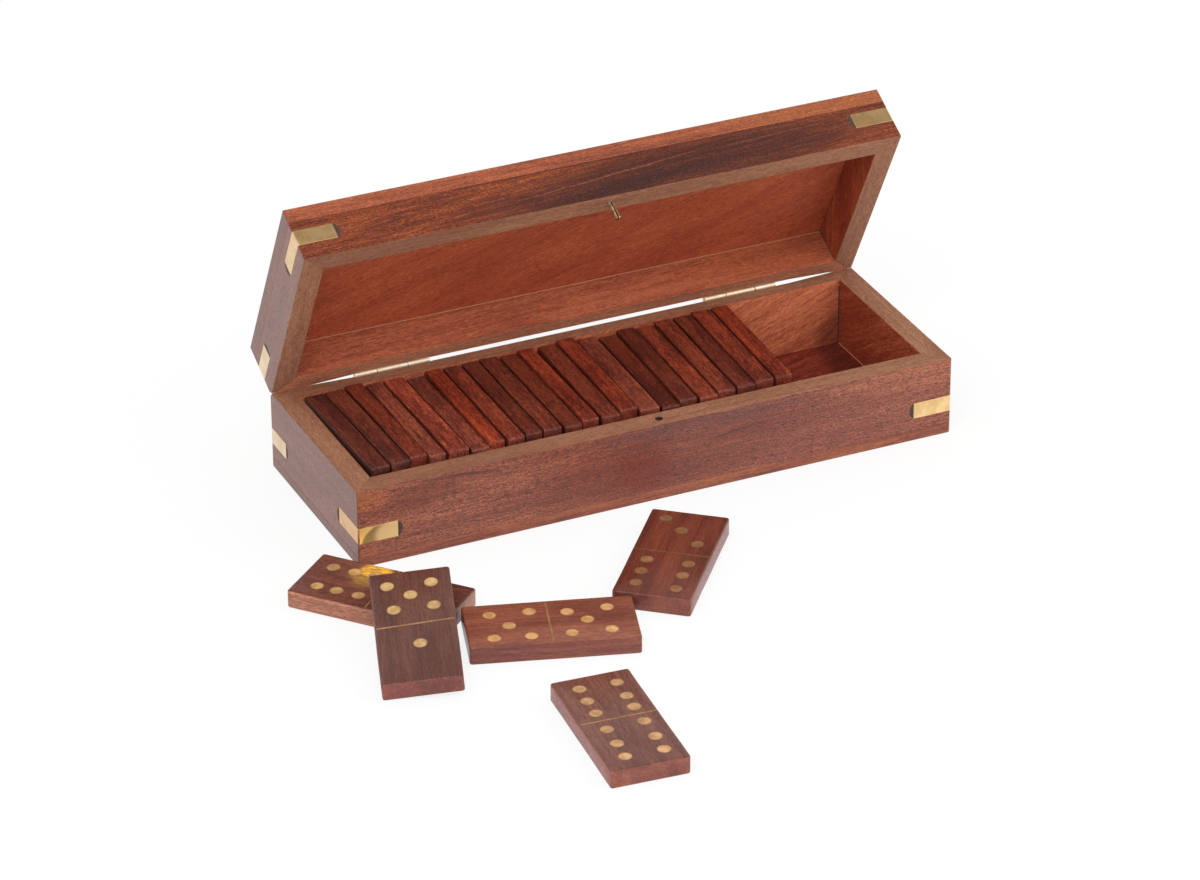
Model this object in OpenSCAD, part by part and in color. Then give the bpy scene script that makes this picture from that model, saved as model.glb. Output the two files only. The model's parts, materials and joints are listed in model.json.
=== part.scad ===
// Rosewood domino storage box: a mitred base and a hinged lid with inlaid brass
// corner straps, two butt hinges, a split catch pin and a double-six set of dominoes.
// The origin is the centre of the underside. X runs left to right, Y front to back.

/* [Dominoes] */
// Length of a domino
tile_l = 50.7; // [44:0.1:60]
// Width of a domino, which is its height when it stands in the row
tile_w = 24.1; // [20:0.1:30]
// Thickness of a domino
tile_t = 5.95; // [5:0.05:9]
// Eased edge of a domino
tile_edge = 0.6; // [0.3:0.1:1]
// Diameter of a brass pip
pip_d = 4; // [2.5:0.1:4.6]
// Depth of a pip and of the centre bar
inlay_h = 1.2; // [0.6:0.1:2]
// Distance from the middle of the tile to the middle of a field of pips
field_x = 12; // [11:0.1:13]
// Spacing of pips along the tile
pip_step_x = 7.1; // [6:0.1:7.5]
// Spacing of pips across the tile, from the middle row
pip_step_y = 6.3; // [5.5:0.1:6.8]
// Width of the brass centre bar
bar_w = 0.5; // [0.4:0.05:1.6]
// Clearance round a brass inlay, filled with glue
glue_gap = 0.05; // [0.03:0.01:0.1]

/* [Fit of the dominoes in the box] */
// Room for each domino of the row over its thickness
row_gap = 0.455; // [0.35:0.005:0.8]
// Gap between the left board and the nearest corner of the row
row_start_gap = 0.15; // [0.1:0.05:2]
// Spare length when the whole set is in the box
spare_l = 6.1; // [3:0.1:20]
// Gap at the front end and at the back end of the row
end_gap = 2.35; // [1.2:0.05:6]
// How unevenly the dominoes of the row stand, from 0 for a straight row
row_wander = 1; // [0:0.1:1]
// How far the row stands above the rim of the base
tile_proud = 1.5; // [0.5:0.1:6]

/* [Box] */
// Thickness of the side boards of base and lid
board_t = 7.3; // [6:0.1:10]
// Thickness of the bottom panel, glued under the frame
bottom_t = 3.6; // [2.5:0.1:6]
// Height of the lid's frame boards
lid_frame_h = 14; // [12.5:0.1:22]
// Thickness of the lid's top panel where it lies on the frame
lid_panel_t = 5.2; // [3:0.1:8]
// Depth of the step under the top panel that locates it in the frame
panel_step = 1.8; // [0.6:0.1:2.5]
// Clearance of that step in the frame
panel_fit = 0.15; // [0.1:0.05:0.4]
// Eased outer edges of the boards and panels
board_edge = 0.4; // [0.3:0.1:1.5]
// Gap between the two rims when the lid is shut
rim_gap = 0.2; // [0.1:0.05:0.5]

/* [Lid] */
// Opening of the lid as it stands here
lid_open = 62.4; // [0:0.1:92.4]
// Opening between the two bevels, a little more than the lid can open
bevel_opening = 94; // [93:1:100]
// Distance of the hinge axis inside the back face
axis_inset = 1.5; // [1.4:0.05:2.4]
// How far the bevels are cut back along the middle
relief = 0.95; // [0.8:0.05:1.3]
// Distance from the left end at which the relief runs out
relief_left = 16; // [4:1:24]
// Distance from the right end at which the relief runs out
relief_right = 8; // [4:1:24]
// Length over which the relief runs out
relief_run = 15; // [8:1:24]

/* [Hinges] */
// Length of a hinge
hinge_l = 25; // [20:0.5:30]
// Distance of a hinge's middle from the middle of the box
hinge_x = 60; // [45:0.5:62]
// Radius of the rolled knuckles
knuckle_r = 0.95; // [0.8:0.05:1]
// Radius of the hinge pin
pin_r = 0.5; // [0.4:0.05:0.6]
// Room round the knuckles in the notches cut for them
notch_gap = 0.2; // [0.15:0.05:0.3]
// Running clearance of the pin, all round
pin_fit = 0.05; // [0.03:0.01:0.08]
// Length of the middle knuckle
middle_knuckle_l = 10; // [6:0.5:12]
// Gap between two knuckles
knuckle_gap = 0.3; // [0.2:0.05:0.5]
// Thickness of a hinge leaf
leaf_t = 0.6; // [0.5:0.05:0.9]
// Height of a hinge leaf below the axis
leaf_h = 10; // [8:0.5:11]
// Shank radius of a hinge nail
nail_r = 0.5; // [0.4:0.05:0.7]
// Head radius of a hinge nail
nail_head_r = 1; // [0.8:0.1:1.3]
// Length of a hinge nail under its head
nail_l = 5; // [3:0.5:5.5]

/* [Corner straps] */
// Width of a brass corner strap
strap_w = 5.4; // [3:0.1:6]
// Thickness of a strap, let in flush
strap_t = 1.4; // [0.8:0.1:2]
// Length of the straps' legs on the left end of the front left corner
strap_leg_long = 15; // [11:0.5:18]
// Length of the straps' legs on the front boards
strap_leg_front = 13; // [11:0.5:18]
// Length of the straps' other legs
strap_leg = 12; // [10:0.5:16]
// Height of the base straps' middle above the underside
base_strap_z = 11.6; // [9:0.1:14]
// Height of the lid straps' middle above the lid's rim
lid_strap_z = 8.7; // [6:0.1:9]
// How unevenly the straps are let in, from 0 for all at one height
strap_wander = 1; // [0:0.1:1]
// How far the round end of a slot runs past the strap
slot_end = 1.5; // [0.8:0.1:2]

/* [Catch] */
// Distance of the catch from the middle of the box
catch_x = 1; // [-20:0.5:20]
// Radius of the split catch pin
catch_r = 0.95; // [0.6:0.05:1]
// How far the catch pin stands out of the lid's rim
catch_out = 6.4; // [4:0.1:7]
// How far the catch pin is driven into the lid's front board
catch_in = 6; // [4:0.5:9]
// Width of the slit between its two prongs
catch_slit = 0.6; // [0.2:0.05:0.7]
// Radial play of the catch pin in its hole
catch_play = 0.3; // [0.2:0.05:0.5]
// Depth of its hole in the base below the tip
catch_spare = 1.2; // [0.5:0.1:2]

/* [Loose dominoes] */
// Gap between the corner of the box and the domino beside it
box_gap = 4.7; // [3:0.1:10]
// Gap between the loose dominoes that lie close together
near_gap = 0.3; // [0.2:0.1:5]
// Gap between the domino at the front and its neighbour
apart_gap = 16.8; // [5:0.1:30]
// Distance of the domino behind the box from its back
behind_gap = 48; // [40:1:80]
// Height at which the leaning domino clears the one under it
lean_gap = 0.3; // [0.2:0.1:0.6]

/* [Hidden] */
$fn = 48;
SET_SIZE = 28;

// sizes that follow from the dominoes and the boards
pitch = tile_t + row_gap;
inner_l = SET_SIZE * pitch + spare_l;
inner_d = tile_l + 2 * end_gap;
box_l = inner_l + 2 * board_t;
box_d = inner_d + 2 * board_t;
base_frame_h = tile_w - tile_proud;
base_h = bottom_t + base_frame_h;
lid_h = lid_frame_h + lid_panel_t;

// the lid's rim plane when it is shut, and the hinge axis half way between the rims
lid_z = base_h + rim_gap;
axis_y = box_d / 2 - axis_inset;
axis_z = base_h + rim_gap / 2;
bevel = bevel_opening / 2;
knuckle_end = middle_knuckle_l / 2;

// more than any cut needs, so that it runs clear through
PAST = 1;
FAR = 30;

// A point of a domino's outline as seen from its middle, lying turned on the ground. The
// mark gives it in half lengths and half widths, and the gap leads on past the edge.
function mark(turn, share, gap = [0, 0]) =
    let (
        x = share[0] * tile_l / 2 + gap[0],
        y = share[1] * tile_w / 2 + gap[1]
    )
    [x * cos(turn) - y * sin(turn), x * sin(turn) + y * cos(turn)];

// Places of the loose dominoes. Each lies with a mark of its own against a mark of its
// neighbour: the first at the front left corner of the box, the last behind the box.
UNDER_TURN = 130.9;
OVER_TURN = 71.3;
FIVES_TURN = -17.3;
THREE_TURN = 231;
SIXES_TURN = 85.4;
TWO_TURN = 7;
UNDER = [-box_l / 2, -box_d / 2] - mark(UNDER_TURN, [0.629, -1], [0, -box_gap]);
OVER = UNDER + mark(UNDER_TURN, [-0.665, 1]) - mark(OVER_TURN, [0.373, 0]);
FIVES = UNDER + mark(UNDER_TURN, [-1, -0.043], [-near_gap, 0]) - mark(FIVES_TURN, [-1, 1]);
THREE = FIVES + mark(FIVES_TURN, [1, 1]) - mark(THREE_TURN, [1, -0.476], [3 * near_gap, 0]);
SIXES = FIVES + mark(FIVES_TURN, [0.745, -1], [0, -apart_gap]) - mark(SIXES_TURN, [1, -1]);
TWO = [0, box_d / 2 + behind_gap] - mark(TWO_TURN, [-0.6, -1]);

// One domino leans over the long edge of another. Its underside climbs at right angles
// to that edge, from the corner that stands on the ground, and just clears it.
climb_turn = UNDER_TURN - 90;
climb = [cos(climb_turn), sin(climb_turn)];
foot_x = tile_l / 2 - tile_edge;
foot_y = tile_w / 2 - tile_edge;
to_edge = (UNDER - OVER) * climb - foot_y;
across = OVER_TURN - climb_turn;
slope = (tile_t + lean_gap) / (foot_x * cos(across) + foot_y * sin(across) + to_edge);
lift = atan(slope * cos(across));
roll = -atan(slope * sin(across) * cos(lift));
over_z = foot_x * sin(lift) - foot_y * cos(lift) * sin(roll);

// [pips, place of the underside's middle, turn, lift of the first field's end, roll]
LOOSE = [
    [[6, 1], [UNDER[0], UNDER[1], 0], UNDER_TURN, 0, 0],
    [[5, 1], [OVER[0], OVER[1], over_z], OVER_TURN, lift, roll],
    [[5, 5], [FIVES[0], FIVES[1], 0], FIVES_TURN, 0, 0],
    [[6, 3], [THREE[0], THREE[1], 0], THREE_TURN, 0, 0],
    [[6, 6], [SIXES[0], SIXES[1], 0], SIXES_TURN, 0, 0],
    [[4, 2], [TWO[0], TWO[1], 0], TWO_TURN, 0, 0],
];

// How each domino of the row differs from its neighbours, from the left: how much thicker
// and how much wider it was planed, in hundredths, its turn, its place between the front
// (-1) and the back (1) of its room, and its gap to the one before in parts of row_gap.
STANDS = [
    [3, -0.4, 1.4, -0.02, 0],
    [5, -0.4, 1.5, 0.06, 0.88],
    [-5, 0, 0.8, 0.51, 0.61],
    [-10, -1.2, 0.2, -0.09, 0.38],
    [10, -1.2, 0.7, -0.04, 1.35],
    [-1, -4.6, 0.2, -0.38, 1.08],
    [-11, -0.8, -0.2, -0.04, 0.33],
    [-5, -1.2, -0.1, -0.17, 1.66],
    [-9, -0.8, -0.4, -0.13, 0.81],
    [3, -0.8, -0.4, 0, 1.16],
    [-2, -2.1, -0.5, -0.21, 1.68],
    [-10, 0, -0.2, -0.02, 0.36],
    [3, -1.2, -1, -0.11, 2.08],
    [-2, 0.4, -1.1, 0.4, 1.08],
    [10, -2.1, -1.3, -0.21, 0.67],
    [1, -5, -1.8, -0.43, 1.36],
    [-2, -1.2, -2.1, -0.17, 0.35],
    [4, -3.7, -1.6, -0.26, 1.2],
    [-1, -1.2, -2, -0.11, 0.4],
    [0, -1.2, -2, -0.11, 1.68],
    [6, 0, -2.3, 0.09, 0.53],
    [-6, 0, -2.1, 0.13, 1.29],
];
function row_t(i) = tile_t * (1 + STANDS[i][0] / 100);
function row_w(i) = tile_w * (1 + STANDS[i][1] / 100);
function row_turn(i) = row_wander * STANDS[i][2];

// the middle of the i-th domino along the row, clear of the one before at their nearest ends
function row_x(i) = i == 0
    ? -inner_l / 2 + row_start_gap + row_t(0) / 2 + tile_l / 2 * sin(abs(row_turn(0)))
    : row_x(i - 1) + (row_t(i - 1) + row_t(i)) / 2 + STANDS[i][4] * row_gap
        + tile_l / 2 * sin(abs(row_turn(i) - row_turn(i - 1)));

function tile_name(p) = str("domino_", p[0], "_", p[1]);
function inlay_name(p) = str("domino_", p[0], "_", p[1], "_inlay");
function is_loose(p) = len([for (t = LOOSE) if (t[0] == p) 1]) > 0;

PAIRS = [for (a = [0:6]) for (b = [a:6]) [b, a]];
ROW = [for (p = PAIRS) if (!is_loose(p)) p];

// ---- colours -------------------------------------------------------------------

module rosewood() { color([0.5, 0.27, 0.2]) children(); }
module tile_wood() { color([0.4, 0.18, 0.13]) children(); }
module brass() { color([0.86, 0.7, 0.38]) children(); }

// ---- shared shapes ---------------------------------------------------------------

// a rectangle about the origin with its four corners cut off
module eased_rect(size, edge) {
    x = size[0] / 2;
    y = size[1] / 2;
    polygon([
        [-x + edge, -y], [x - edge, -y], [x, -y + edge], [x, y - edge],
        [x - edge, y], [-x + edge, y], [-x, y - edge], [-x, -y + edge],
    ]);
}

// a block on z = 0 with all twelve edges eased
module eased_block(size, edge) {
    translate([0, 0, size[2] / 2])
        intersection() {
            linear_extrude(size[2], center = true)
                eased_rect([size[0], size[1]], edge);
            rotate([90, 0, 0])
                linear_extrude(size[1], center = true)
                    eased_rect([size[0], size[2]], edge);
            rotate([90, 0, 90])
                linear_extrude(size[0], center = true)
                    eased_rect([size[1], size[2]], edge);
        }
}

// plan of a board along the front of a frame l by d, mitred at both ends
module mitred_plan(l, d) {
    x = l / 2;
    y = -d / 2;
    e = board_edge;
    polygon([
        [-x + e, y], [x - e, y], [x - e / 2, y + e / 2], [x - board_t, y + board_t],
        [-x + board_t, y + board_t], [-x + e / 2, y + e / 2],
    ]);
}

// one of the four boards of a frame: turn 0 front, 90 right, 180 back, 270 left
module frame_board(turn, h) {
    along = turn % 180 == 0;
    rotate([0, 0, turn])
        linear_extrude(h)
            mitred_plan(along ? box_l : box_d, along ? box_d : box_l);
}

// everything behind the bevel of the base's back rim, in the frame of the hinge axis,
// with a round notch along each hinge
module bevel_cut() {
    for (side = [-1, 1])
        translate([side * hinge_x - hinge_l / 2 - notch_gap, 0, 0])
            rotate([0, 90, 0])
                cylinder(h = hinge_l + 2 * notch_gap, r = knuckle_r + notch_gap);
    left = -box_l / 2;
    right = box_l / 2;
    depth = -relief * sin(bevel);
    skin = -rim_gap / 2 * cos(bevel);
    rotate([90 - bevel, 0, 0])
        linear_extrude(FAR, center = true)
            polygon([
                [left - PAST, skin],
                [left + relief_left, skin],
                [left + relief_left + relief_run, skin + depth],
                [right - relief_right - relief_run, skin + depth],
                [right - relief_right, skin],
                [right + PAST, skin],
                [right + PAST, 4 * axis_inset],
                [left - PAST, 4 * axis_inset],
            ]);
}

module at_axis() { translate([0, axis_y, axis_z]) children(); }

// turns what is drawn shut to the opening at which the lid stands
module on_lid() {
    at_axis()
        rotate([-lid_open, 0, 0])
            translate([0, -axis_y, -axis_z])
                children();
}

// ---- corner straps and their slots -----------------------------------------------

// Face of a strap slot that starts at x = 0 and runs along X: square at the corner and
// closed by an arc of chord w and height slot_end.
module slot_face(leg, w) {
    arc_r = (w * w / 4 + slot_end * slot_end) / (2 * slot_end);
    translate([-PAST, -w / 2])
        square([leg + PAST, w]);
    intersection() {
        translate([leg + slot_end - arc_r, 0])
            circle(r = arc_r);
        translate([0, -w / 2])
            square([leg + slot_end, w]);
    }
}

// how far the straps are let in off their height: front left, back left, front right and
// back right corner
BASE_STRAPS = [-0.6, -0.5, -1, 0];
LID_STRAPS = [-0.6, 0, 0.1, 0];

// height of the middle of a corner's strap
function strap_mid(side, end, lid) =
    (lid ? lid_z + lid_strap_z : base_strap_z)
    + strap_wander * (lid ? LID_STRAPS : BASE_STRAPS)[side + (end + 3) / 2];

// legs of a corner's strap on its front or back board and on its left or right board
function front_leg(end) = end < 0 ? strap_leg_front : strap_leg;
function side_leg(side, end) = side < 0 && end < 0 ? strap_leg_long : strap_leg;

// The two routed slots of a corner at height z: side -1 left, 1 right, end -1 front, 1 back.
module corner_slots(side, end, z) {
    w = strap_w + 2 * glue_gap;
    mirror([side > 0 ? 1 : 0, 0, 0])
        mirror([0, end > 0 ? 1 : 0, 0])
            translate([-box_l / 2, -box_d / 2, z]) {
                translate([0, strap_t, 0])
                    rotate([90, 0, 0])
                        linear_extrude(strap_t + PAST)
                            slot_face(front_leg(end), w);
                translate([strap_t, 0, 0])
                    rotate([90, 0, -90])
                        linear_extrude(strap_t + PAST)
                            mirror([1, 0])
                                slot_face(side_leg(side, end), w);
            }
}

module all_slots(lid) {
    for (side = [-1, 1])
        for (end = [-1, 1])
            corner_slots(side, end, strap_mid(side, end, lid));
}

// an L of brass round the corner, eased where the boards are
module corner_strap(side, end, z) {
    e = board_edge;
    front = front_leg(end);
    out = side_leg(side, end);
    mirror([side > 0 ? 1 : 0, 0, 0])
        mirror([0, end > 0 ? 1 : 0, 0])
            translate([-box_l / 2, -box_d / 2, z - strap_w / 2])
                linear_extrude(strap_w)
                    polygon([
                        [e, 0], [front, 0], [front, strap_t], [strap_t, strap_t],
                        [strap_t, out], [0, out], [0, e],
                    ]);
}

// ---- base --------------------------------------------------------------------------

module base_board(turn) {
    rosewood()
        difference() {
            translate([0, 0, bottom_t])
                frame_board(turn, base_frame_h);
            all_slots(false);
            at_axis()
                bevel_cut();
            if (turn == 180)
                leaf_pockets();
            if (turn == 0)
                catch_hole();
        }
}

module base_bottom_panel() {
    rosewood()
        intersection() {
            eased_block([box_l, box_d, 2 * base_h], board_edge);
            translate([-box_l / 2, -box_d / 2, 0])
                cube([box_l, box_d, bottom_t]);
        }
}

// ---- lid, drawn shut and turned up by on_lid ---------------------------------------

module lid_board(turn) {
    rosewood()
        on_lid()
            difference() {
                translate([0, 0, lid_z])
                    frame_board(turn, lid_frame_h);
                all_slots(true);
                at_axis()
                    mirror([0, 0, 1])
                        bevel_cut();
                if (turn == 180)
                    mirrored_at_axis()
                        leaf_pockets();
                if (turn == 0)
                    catch_socket();
            }
}

module lid_top_panel() {
    step_l = inner_l - 2 * panel_fit;
    step_d = inner_d - 2 * panel_fit;
    rosewood()
        on_lid()
            translate([0, 0, lid_z + lid_frame_h]) {
                intersection() {
                    translate([0, 0, -lid_h])
                        eased_block([box_l, box_d, lid_h + lid_panel_t], board_edge);
                    translate([-box_l / 2, -box_d / 2, 0])
                        cube([box_l, box_d, lid_panel_t]);
                }
                translate([-step_l / 2, -step_d / 2, -panel_step])
                    cube([step_l, step_d, panel_step]);
            }
}

// ---- hinges --------------------------------------------------------------------------

// mirrors a base leaf, pocket or nail about the plane of the axis to give the lid's
module mirrored_at_axis() {
    translate([0, 0, axis_z])
        mirror([0, 0, 1])
            translate([0, 0, -axis_z])
                children();
}

// Where the leaf's flat plate starts below the axis. It clears the other leaf's folded web.
leaf_top = axis_inset + leaf_t;

// pockets in the back face for both hinge plates, with a slope chiselled under their webs,
// and the pilot holes of their nails
module leaf_pockets() {
    for (side = [-1, 1])
        translate([side * hinge_x, box_d / 2, axis_z]) {
            translate([-hinge_l / 2 - glue_gap, -leaf_t, -leaf_h - glue_gap])
                cube([hinge_l + 2 * glue_gap, leaf_t + PAST, leaf_h]);
            translate([-hinge_l / 2 - glue_gap, -axis_inset, 0])
                rotate([90, 0, 90])
                    linear_extrude(hinge_l + 2 * glue_gap)
                        polygon([
                            [-glue_gap, 0],
                            [-glue_gap, -knuckle_r - glue_gap],
                            [axis_inset - leaf_t, -leaf_top - leaf_t - 2 * glue_gap],
                            [axis_inset + PAST, -leaf_top - leaf_t - 2 * glue_gap],
                            [axis_inset + PAST, 0],
                        ]);
            nail_places()
                rotate([90, 0, 0])
                    cylinder(h = nail_l + glue_gap, r = nail_r + glue_gap);
        }
}

// three nails in a leaf, the middle one lower
module nail_places() {
    for (i = [-1, 0, 1])
        translate([i * hinge_l / 3, 0, -leaf_h * (i == 0 ? 0.72 : 0.5)])
            children();
}

// stretches of a leaf's knuckles along X: the base leaf has the two outer ones
function knuckles(middle) = middle
    ? [[-knuckle_end, knuckle_end]]
    : [
        [-hinge_l / 2, -knuckle_end - knuckle_gap],
        [knuckle_end + knuckle_gap, hinge_l / 2],
    ];

// A leaf in the frame of its hinge's middle on the axis: plate, webs and rolled knuckles.
module hinge_leaf(middle) {
    back = axis_inset;
    brass()
        difference() {
            union() {
                translate([-hinge_l / 2, back - leaf_t, -leaf_h])
                    cube([hinge_l, leaf_t, leaf_h - leaf_top]);
                for (k = knuckles(middle))
                    translate([k[0], 0, 0])
                        rotate([90, 0, 90])
                            linear_extrude(k[1] - k[0]) {
                                circle(r = knuckle_r);
                                polygon([
                                    [0, -knuckle_r], [knuckle_r, 0],
                                    [back, -leaf_top + knuckle_r / 2],
                                    [back, -leaf_top - leaf_t], [back - leaf_t, -leaf_top - leaf_t],
                                ]);
                            }
            }
            translate([-hinge_l / 2 - PAST, 0, 0])
                rotate([0, 90, 0])
                    cylinder(h = hinge_l + 2 * PAST, r = pin_r + pin_fit);
            nail_places()
                translate([0, back + PAST, 0])
                    rotate([90, 0, 0])
                        cylinder(h = leaf_t + 2 * PAST, r = nail_r + glue_gap);
        }
}

module base_leaf(side) {
    translate([side * hinge_x, axis_y, axis_z])
        hinge_leaf(false);
}

module lid_leaf(side) {
    on_lid()
        mirrored_at_axis()
            translate([side * hinge_x, axis_y, axis_z])
                hinge_leaf(true);
}

// two plain wire pins, cut flush with the outer knuckles
module hinge_pins() {
    brass()
        for (side = [-1, 1])
            translate([side * hinge_x - hinge_l / 2, axis_y, axis_z])
                rotate([0, 90, 0])
                    cylinder(h = hinge_l, r = pin_r);
}

// domed nails through both leaves of one half
module hinge_nails() {
    brass()
        for (side = [-1, 1])
            translate([side * hinge_x, box_d / 2, axis_z])
                nail_places() {
                    rotate([90, 0, 0])
                        cylinder(h = nail_l, r = nail_r);
                    rotate([-90, 0, 0])
                        cylinder(h = nail_head_r / 2, r1 = nail_head_r, r2 = nail_head_r / 2);
                }
}

// ---- catch ---------------------------------------------------------------------------

catch_y = -box_d / 2 + board_t / 2;

// a split pin driven into the lid's front rim: two half-round prongs side by side
module catch_pin() {
    brass()
        on_lid()
            translate([catch_x, catch_y, lid_z])
                difference() {
                    intersection() {
                        translate([0, 0, -catch_out])
                            cylinder(h = catch_out + catch_in, r = catch_r);
                        translate([0, 0, -catch_out + 2 * catch_r])
                            union() {
                                sphere(r = 2 * catch_r);
                                cylinder(h = catch_out + catch_in, r = 2 * catch_r);
                            }
                    }
                    translate([-catch_slit / 2, -catch_r - PAST, -catch_out - PAST])
                        cube([catch_slit, 2 * (catch_r + PAST), catch_out + PAST]);
                }
}

module catch_socket() {
    translate([catch_x, catch_y, lid_z - PAST])
        cylinder(h = catch_in + PAST + glue_gap, r = catch_r + glue_gap);
}

module catch_hole() {
    depth = catch_out - rim_gap + catch_spare;
    translate([catch_x, catch_y, base_h - depth])
        cylinder(h = depth + PAST, r = catch_r + catch_play);
}

// ---- dominoes ------------------------------------------------------------------------

// places of the pips of one field: corners, then the two sides, then the centre
function field(n) = concat(
    n > 1 ? [[1, 1], [-1, -1]] : [],
    n > 3 ? [[1, -1], [-1, 1]] : [],
    n > 5 ? [[0, 1], [0, -1]] : [],
    n % 2 == 1 ? [[0, 0]] : []
);

// pips in the face at height t, with r and depth grown by gap for their sockets
module pips(pair, t, gap) {
    for (half = [0, 1])
        for (p = field(pair[half]))
            translate([
                (half == 0 ? 1 : -1) * field_x + p[0] * pip_step_x,
                p[1] * pip_step_y,
                t - inlay_h - gap
            ])
                cylinder(h = inlay_h + (gap > 0 ? gap + PAST : 0), r = pip_d / 2 + gap);
}

module centre_bar(t, w, gap) {
    l = w - 2 * tile_edge;
    translate([
        -bar_w / 2 - gap,
        gap > 0 ? -w / 2 - PAST : -l / 2,
        t - inlay_h - gap
    ])
        cube([
            bar_w + 2 * gap,
            gap > 0 ? w + 2 * PAST : l,
            inlay_h + (gap > 0 ? gap + PAST : 0)
        ]);
}

// the drilled and sawn wood of a domino, face up on z = 0
module domino_wood(pair, t = tile_t, w = tile_w) {
    tile_wood()
        difference() {
            eased_block([tile_l, w, t], tile_edge);
            pips(pair, t, glue_gap);
            centre_bar(t, w, glue_gap);
        }
}

module domino_brass(pair, t = tile_t, w = tile_w) {
    brass() {
        pips(pair, t, 0);
        centre_bar(t, w, 0);
    }
}

// the i-th domino of the row, on its long edge with its face to the right
module in_row(i) {
    translate([row_x(i), row_wander * STANDS[i][3] * end_gap, bottom_t + row_w(i) / 2])
        rotate([0, 0, row_turn(i)])
            translate([-row_t(i) / 2, 0, 0])
                rotate([90, 0, 90])
                    children();
}

module lying(t) {
    translate(t[1])
        rotate([0, 0, t[2]])
            rotate([0, -t[3], 0])
                rotate([t[4], 0, 0])
                    children();
}

// ---- the assembly ----------------------------------------------------------------------

base_board(0);  // base_front_board
base_board(90);  // base_right_board
base_board(180);  // base_back_board
base_board(270);  // base_left_board
base_bottom_panel();
lid_board(0);  // lid_front_board
lid_board(90);  // lid_right_board
lid_board(180);  // lid_back_board
lid_board(270);  // lid_left_board
lid_top_panel();
for (side = [-1, 1])
    for (end = [-1, 1]) {
        place = str(end < 0 ? "front" : "back", side < 0 ? "_left" : "_right");
        brass() corner_strap(side, end, strap_mid(side, end, false));
        brass() on_lid() corner_strap(side, end, strap_mid(side, end, true));
    }
base_leaf(-1);  // left_hinge_base_leaf
lid_leaf(-1);  // left_hinge_lid_leaf
base_leaf(1);  // right_hinge_base_leaf
lid_leaf(1);  // right_hinge_lid_leaf
hinge_pins();
hinge_nails();  // base_hinge_nails
on_lid() mirrored_at_axis() hinge_nails();  // lid_hinge_nails
catch_pin();
for (i = [0:len(ROW) - 1])
    in_row(i) {
            domino_wood(ROW[i], row_t(i), row_w(i));
            domino_brass(ROW[i], row_t(i), row_w(i));
        }
for (t = LOOSE) {
    lying(t) domino_wood(t[0]);
    lying(t) domino_brass(t[0]);
}
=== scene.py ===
import json
import logging
import math
from dataclasses import dataclass
from enum import Enum
from typing import Any, Sequence

import bmesh
import bpy
import numpy as np
from mathutils import Matrix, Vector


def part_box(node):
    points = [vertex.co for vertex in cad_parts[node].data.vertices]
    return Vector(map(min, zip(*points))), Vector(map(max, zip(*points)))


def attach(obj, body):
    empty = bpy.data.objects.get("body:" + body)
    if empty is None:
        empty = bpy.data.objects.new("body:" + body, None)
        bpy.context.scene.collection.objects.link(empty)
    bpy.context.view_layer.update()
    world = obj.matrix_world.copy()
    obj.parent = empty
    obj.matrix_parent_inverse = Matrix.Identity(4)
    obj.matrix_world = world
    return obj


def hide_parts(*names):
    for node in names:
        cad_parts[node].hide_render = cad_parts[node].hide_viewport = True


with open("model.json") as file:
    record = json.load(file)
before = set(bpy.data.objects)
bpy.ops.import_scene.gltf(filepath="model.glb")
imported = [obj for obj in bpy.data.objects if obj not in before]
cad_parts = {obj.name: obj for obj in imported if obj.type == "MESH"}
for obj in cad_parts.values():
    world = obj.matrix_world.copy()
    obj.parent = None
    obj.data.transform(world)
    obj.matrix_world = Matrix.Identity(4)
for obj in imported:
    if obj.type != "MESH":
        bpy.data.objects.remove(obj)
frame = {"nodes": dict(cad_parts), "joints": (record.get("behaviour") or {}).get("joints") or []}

log = logging.getLogger("domino_box")

Pair = tuple[float, float]
Triple = tuple[float, float, float]
Tone = tuple[float, float, float]

MM = 0.001
EVEN: Tone = (1.0, 1.0, 1.0)
NO_SHIFT: Triple = (0.0, 0.0, 0.0)
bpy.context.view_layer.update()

# Points that lie closer than this many millimetres are one, and faces that turn by less
# than this many degrees are one.
SAME_POINT = 0.004
SAME_PLANE = 0.6

# How far a face's normal has to go along a direction for the face to look that way.
LOOKS_ALONG = 0.6
LOOKS_OUT = 0.5


# ---- places in space -----------------------------------------------------------------


@dataclass(frozen=True)
class Place:
    """A right-handed set of axes in space: where a piece lies and how it is turned."""

    origin: np.ndarray
    axes: np.ndarray

    def out(self, points: np.ndarray) -> np.ndarray:
        """Points given in these axes, as points in space."""
        return self.origin + points @ self.axes

    def into(self, points: np.ndarray) -> np.ndarray:
        """Points in space, given in these axes."""
        return (points - self.origin) @ self.axes.T

    def turn(self, directions: np.ndarray) -> np.ndarray:
        """Directions in space, given in these axes."""
        return directions @ self.axes.T


def turned(axis: str, degrees: float) -> np.ndarray:
    """The matrix that turns by the right-hand rule about a world axis.

    Args:
        axis: "X", "Y" or "Z".
        degrees: The angle.

    Returns:
        A 3 by 3 array.
    """
    return np.array(Matrix.Rotation(math.radians(degrees), 3, axis))


def place(origin: Sequence[float], turn: np.ndarray) -> Place:
    """Axes that start at origin and are the world's, turned by a matrix."""
    return Place(np.asarray(origin, float), turn.T)


def middle(node: str) -> np.ndarray:
    """The middle of a CAD node's box, in metres."""
    low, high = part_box(node)
    return (np.array(low) + np.array(high)) / 2


# ---- meshes --------------------------------------------------------------------------


@dataclass
class Patch:
    """Points, faces and one material slot: a part of a skin."""

    points: np.ndarray
    faces: list[list[int]]
    slot: int = 0


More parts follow.
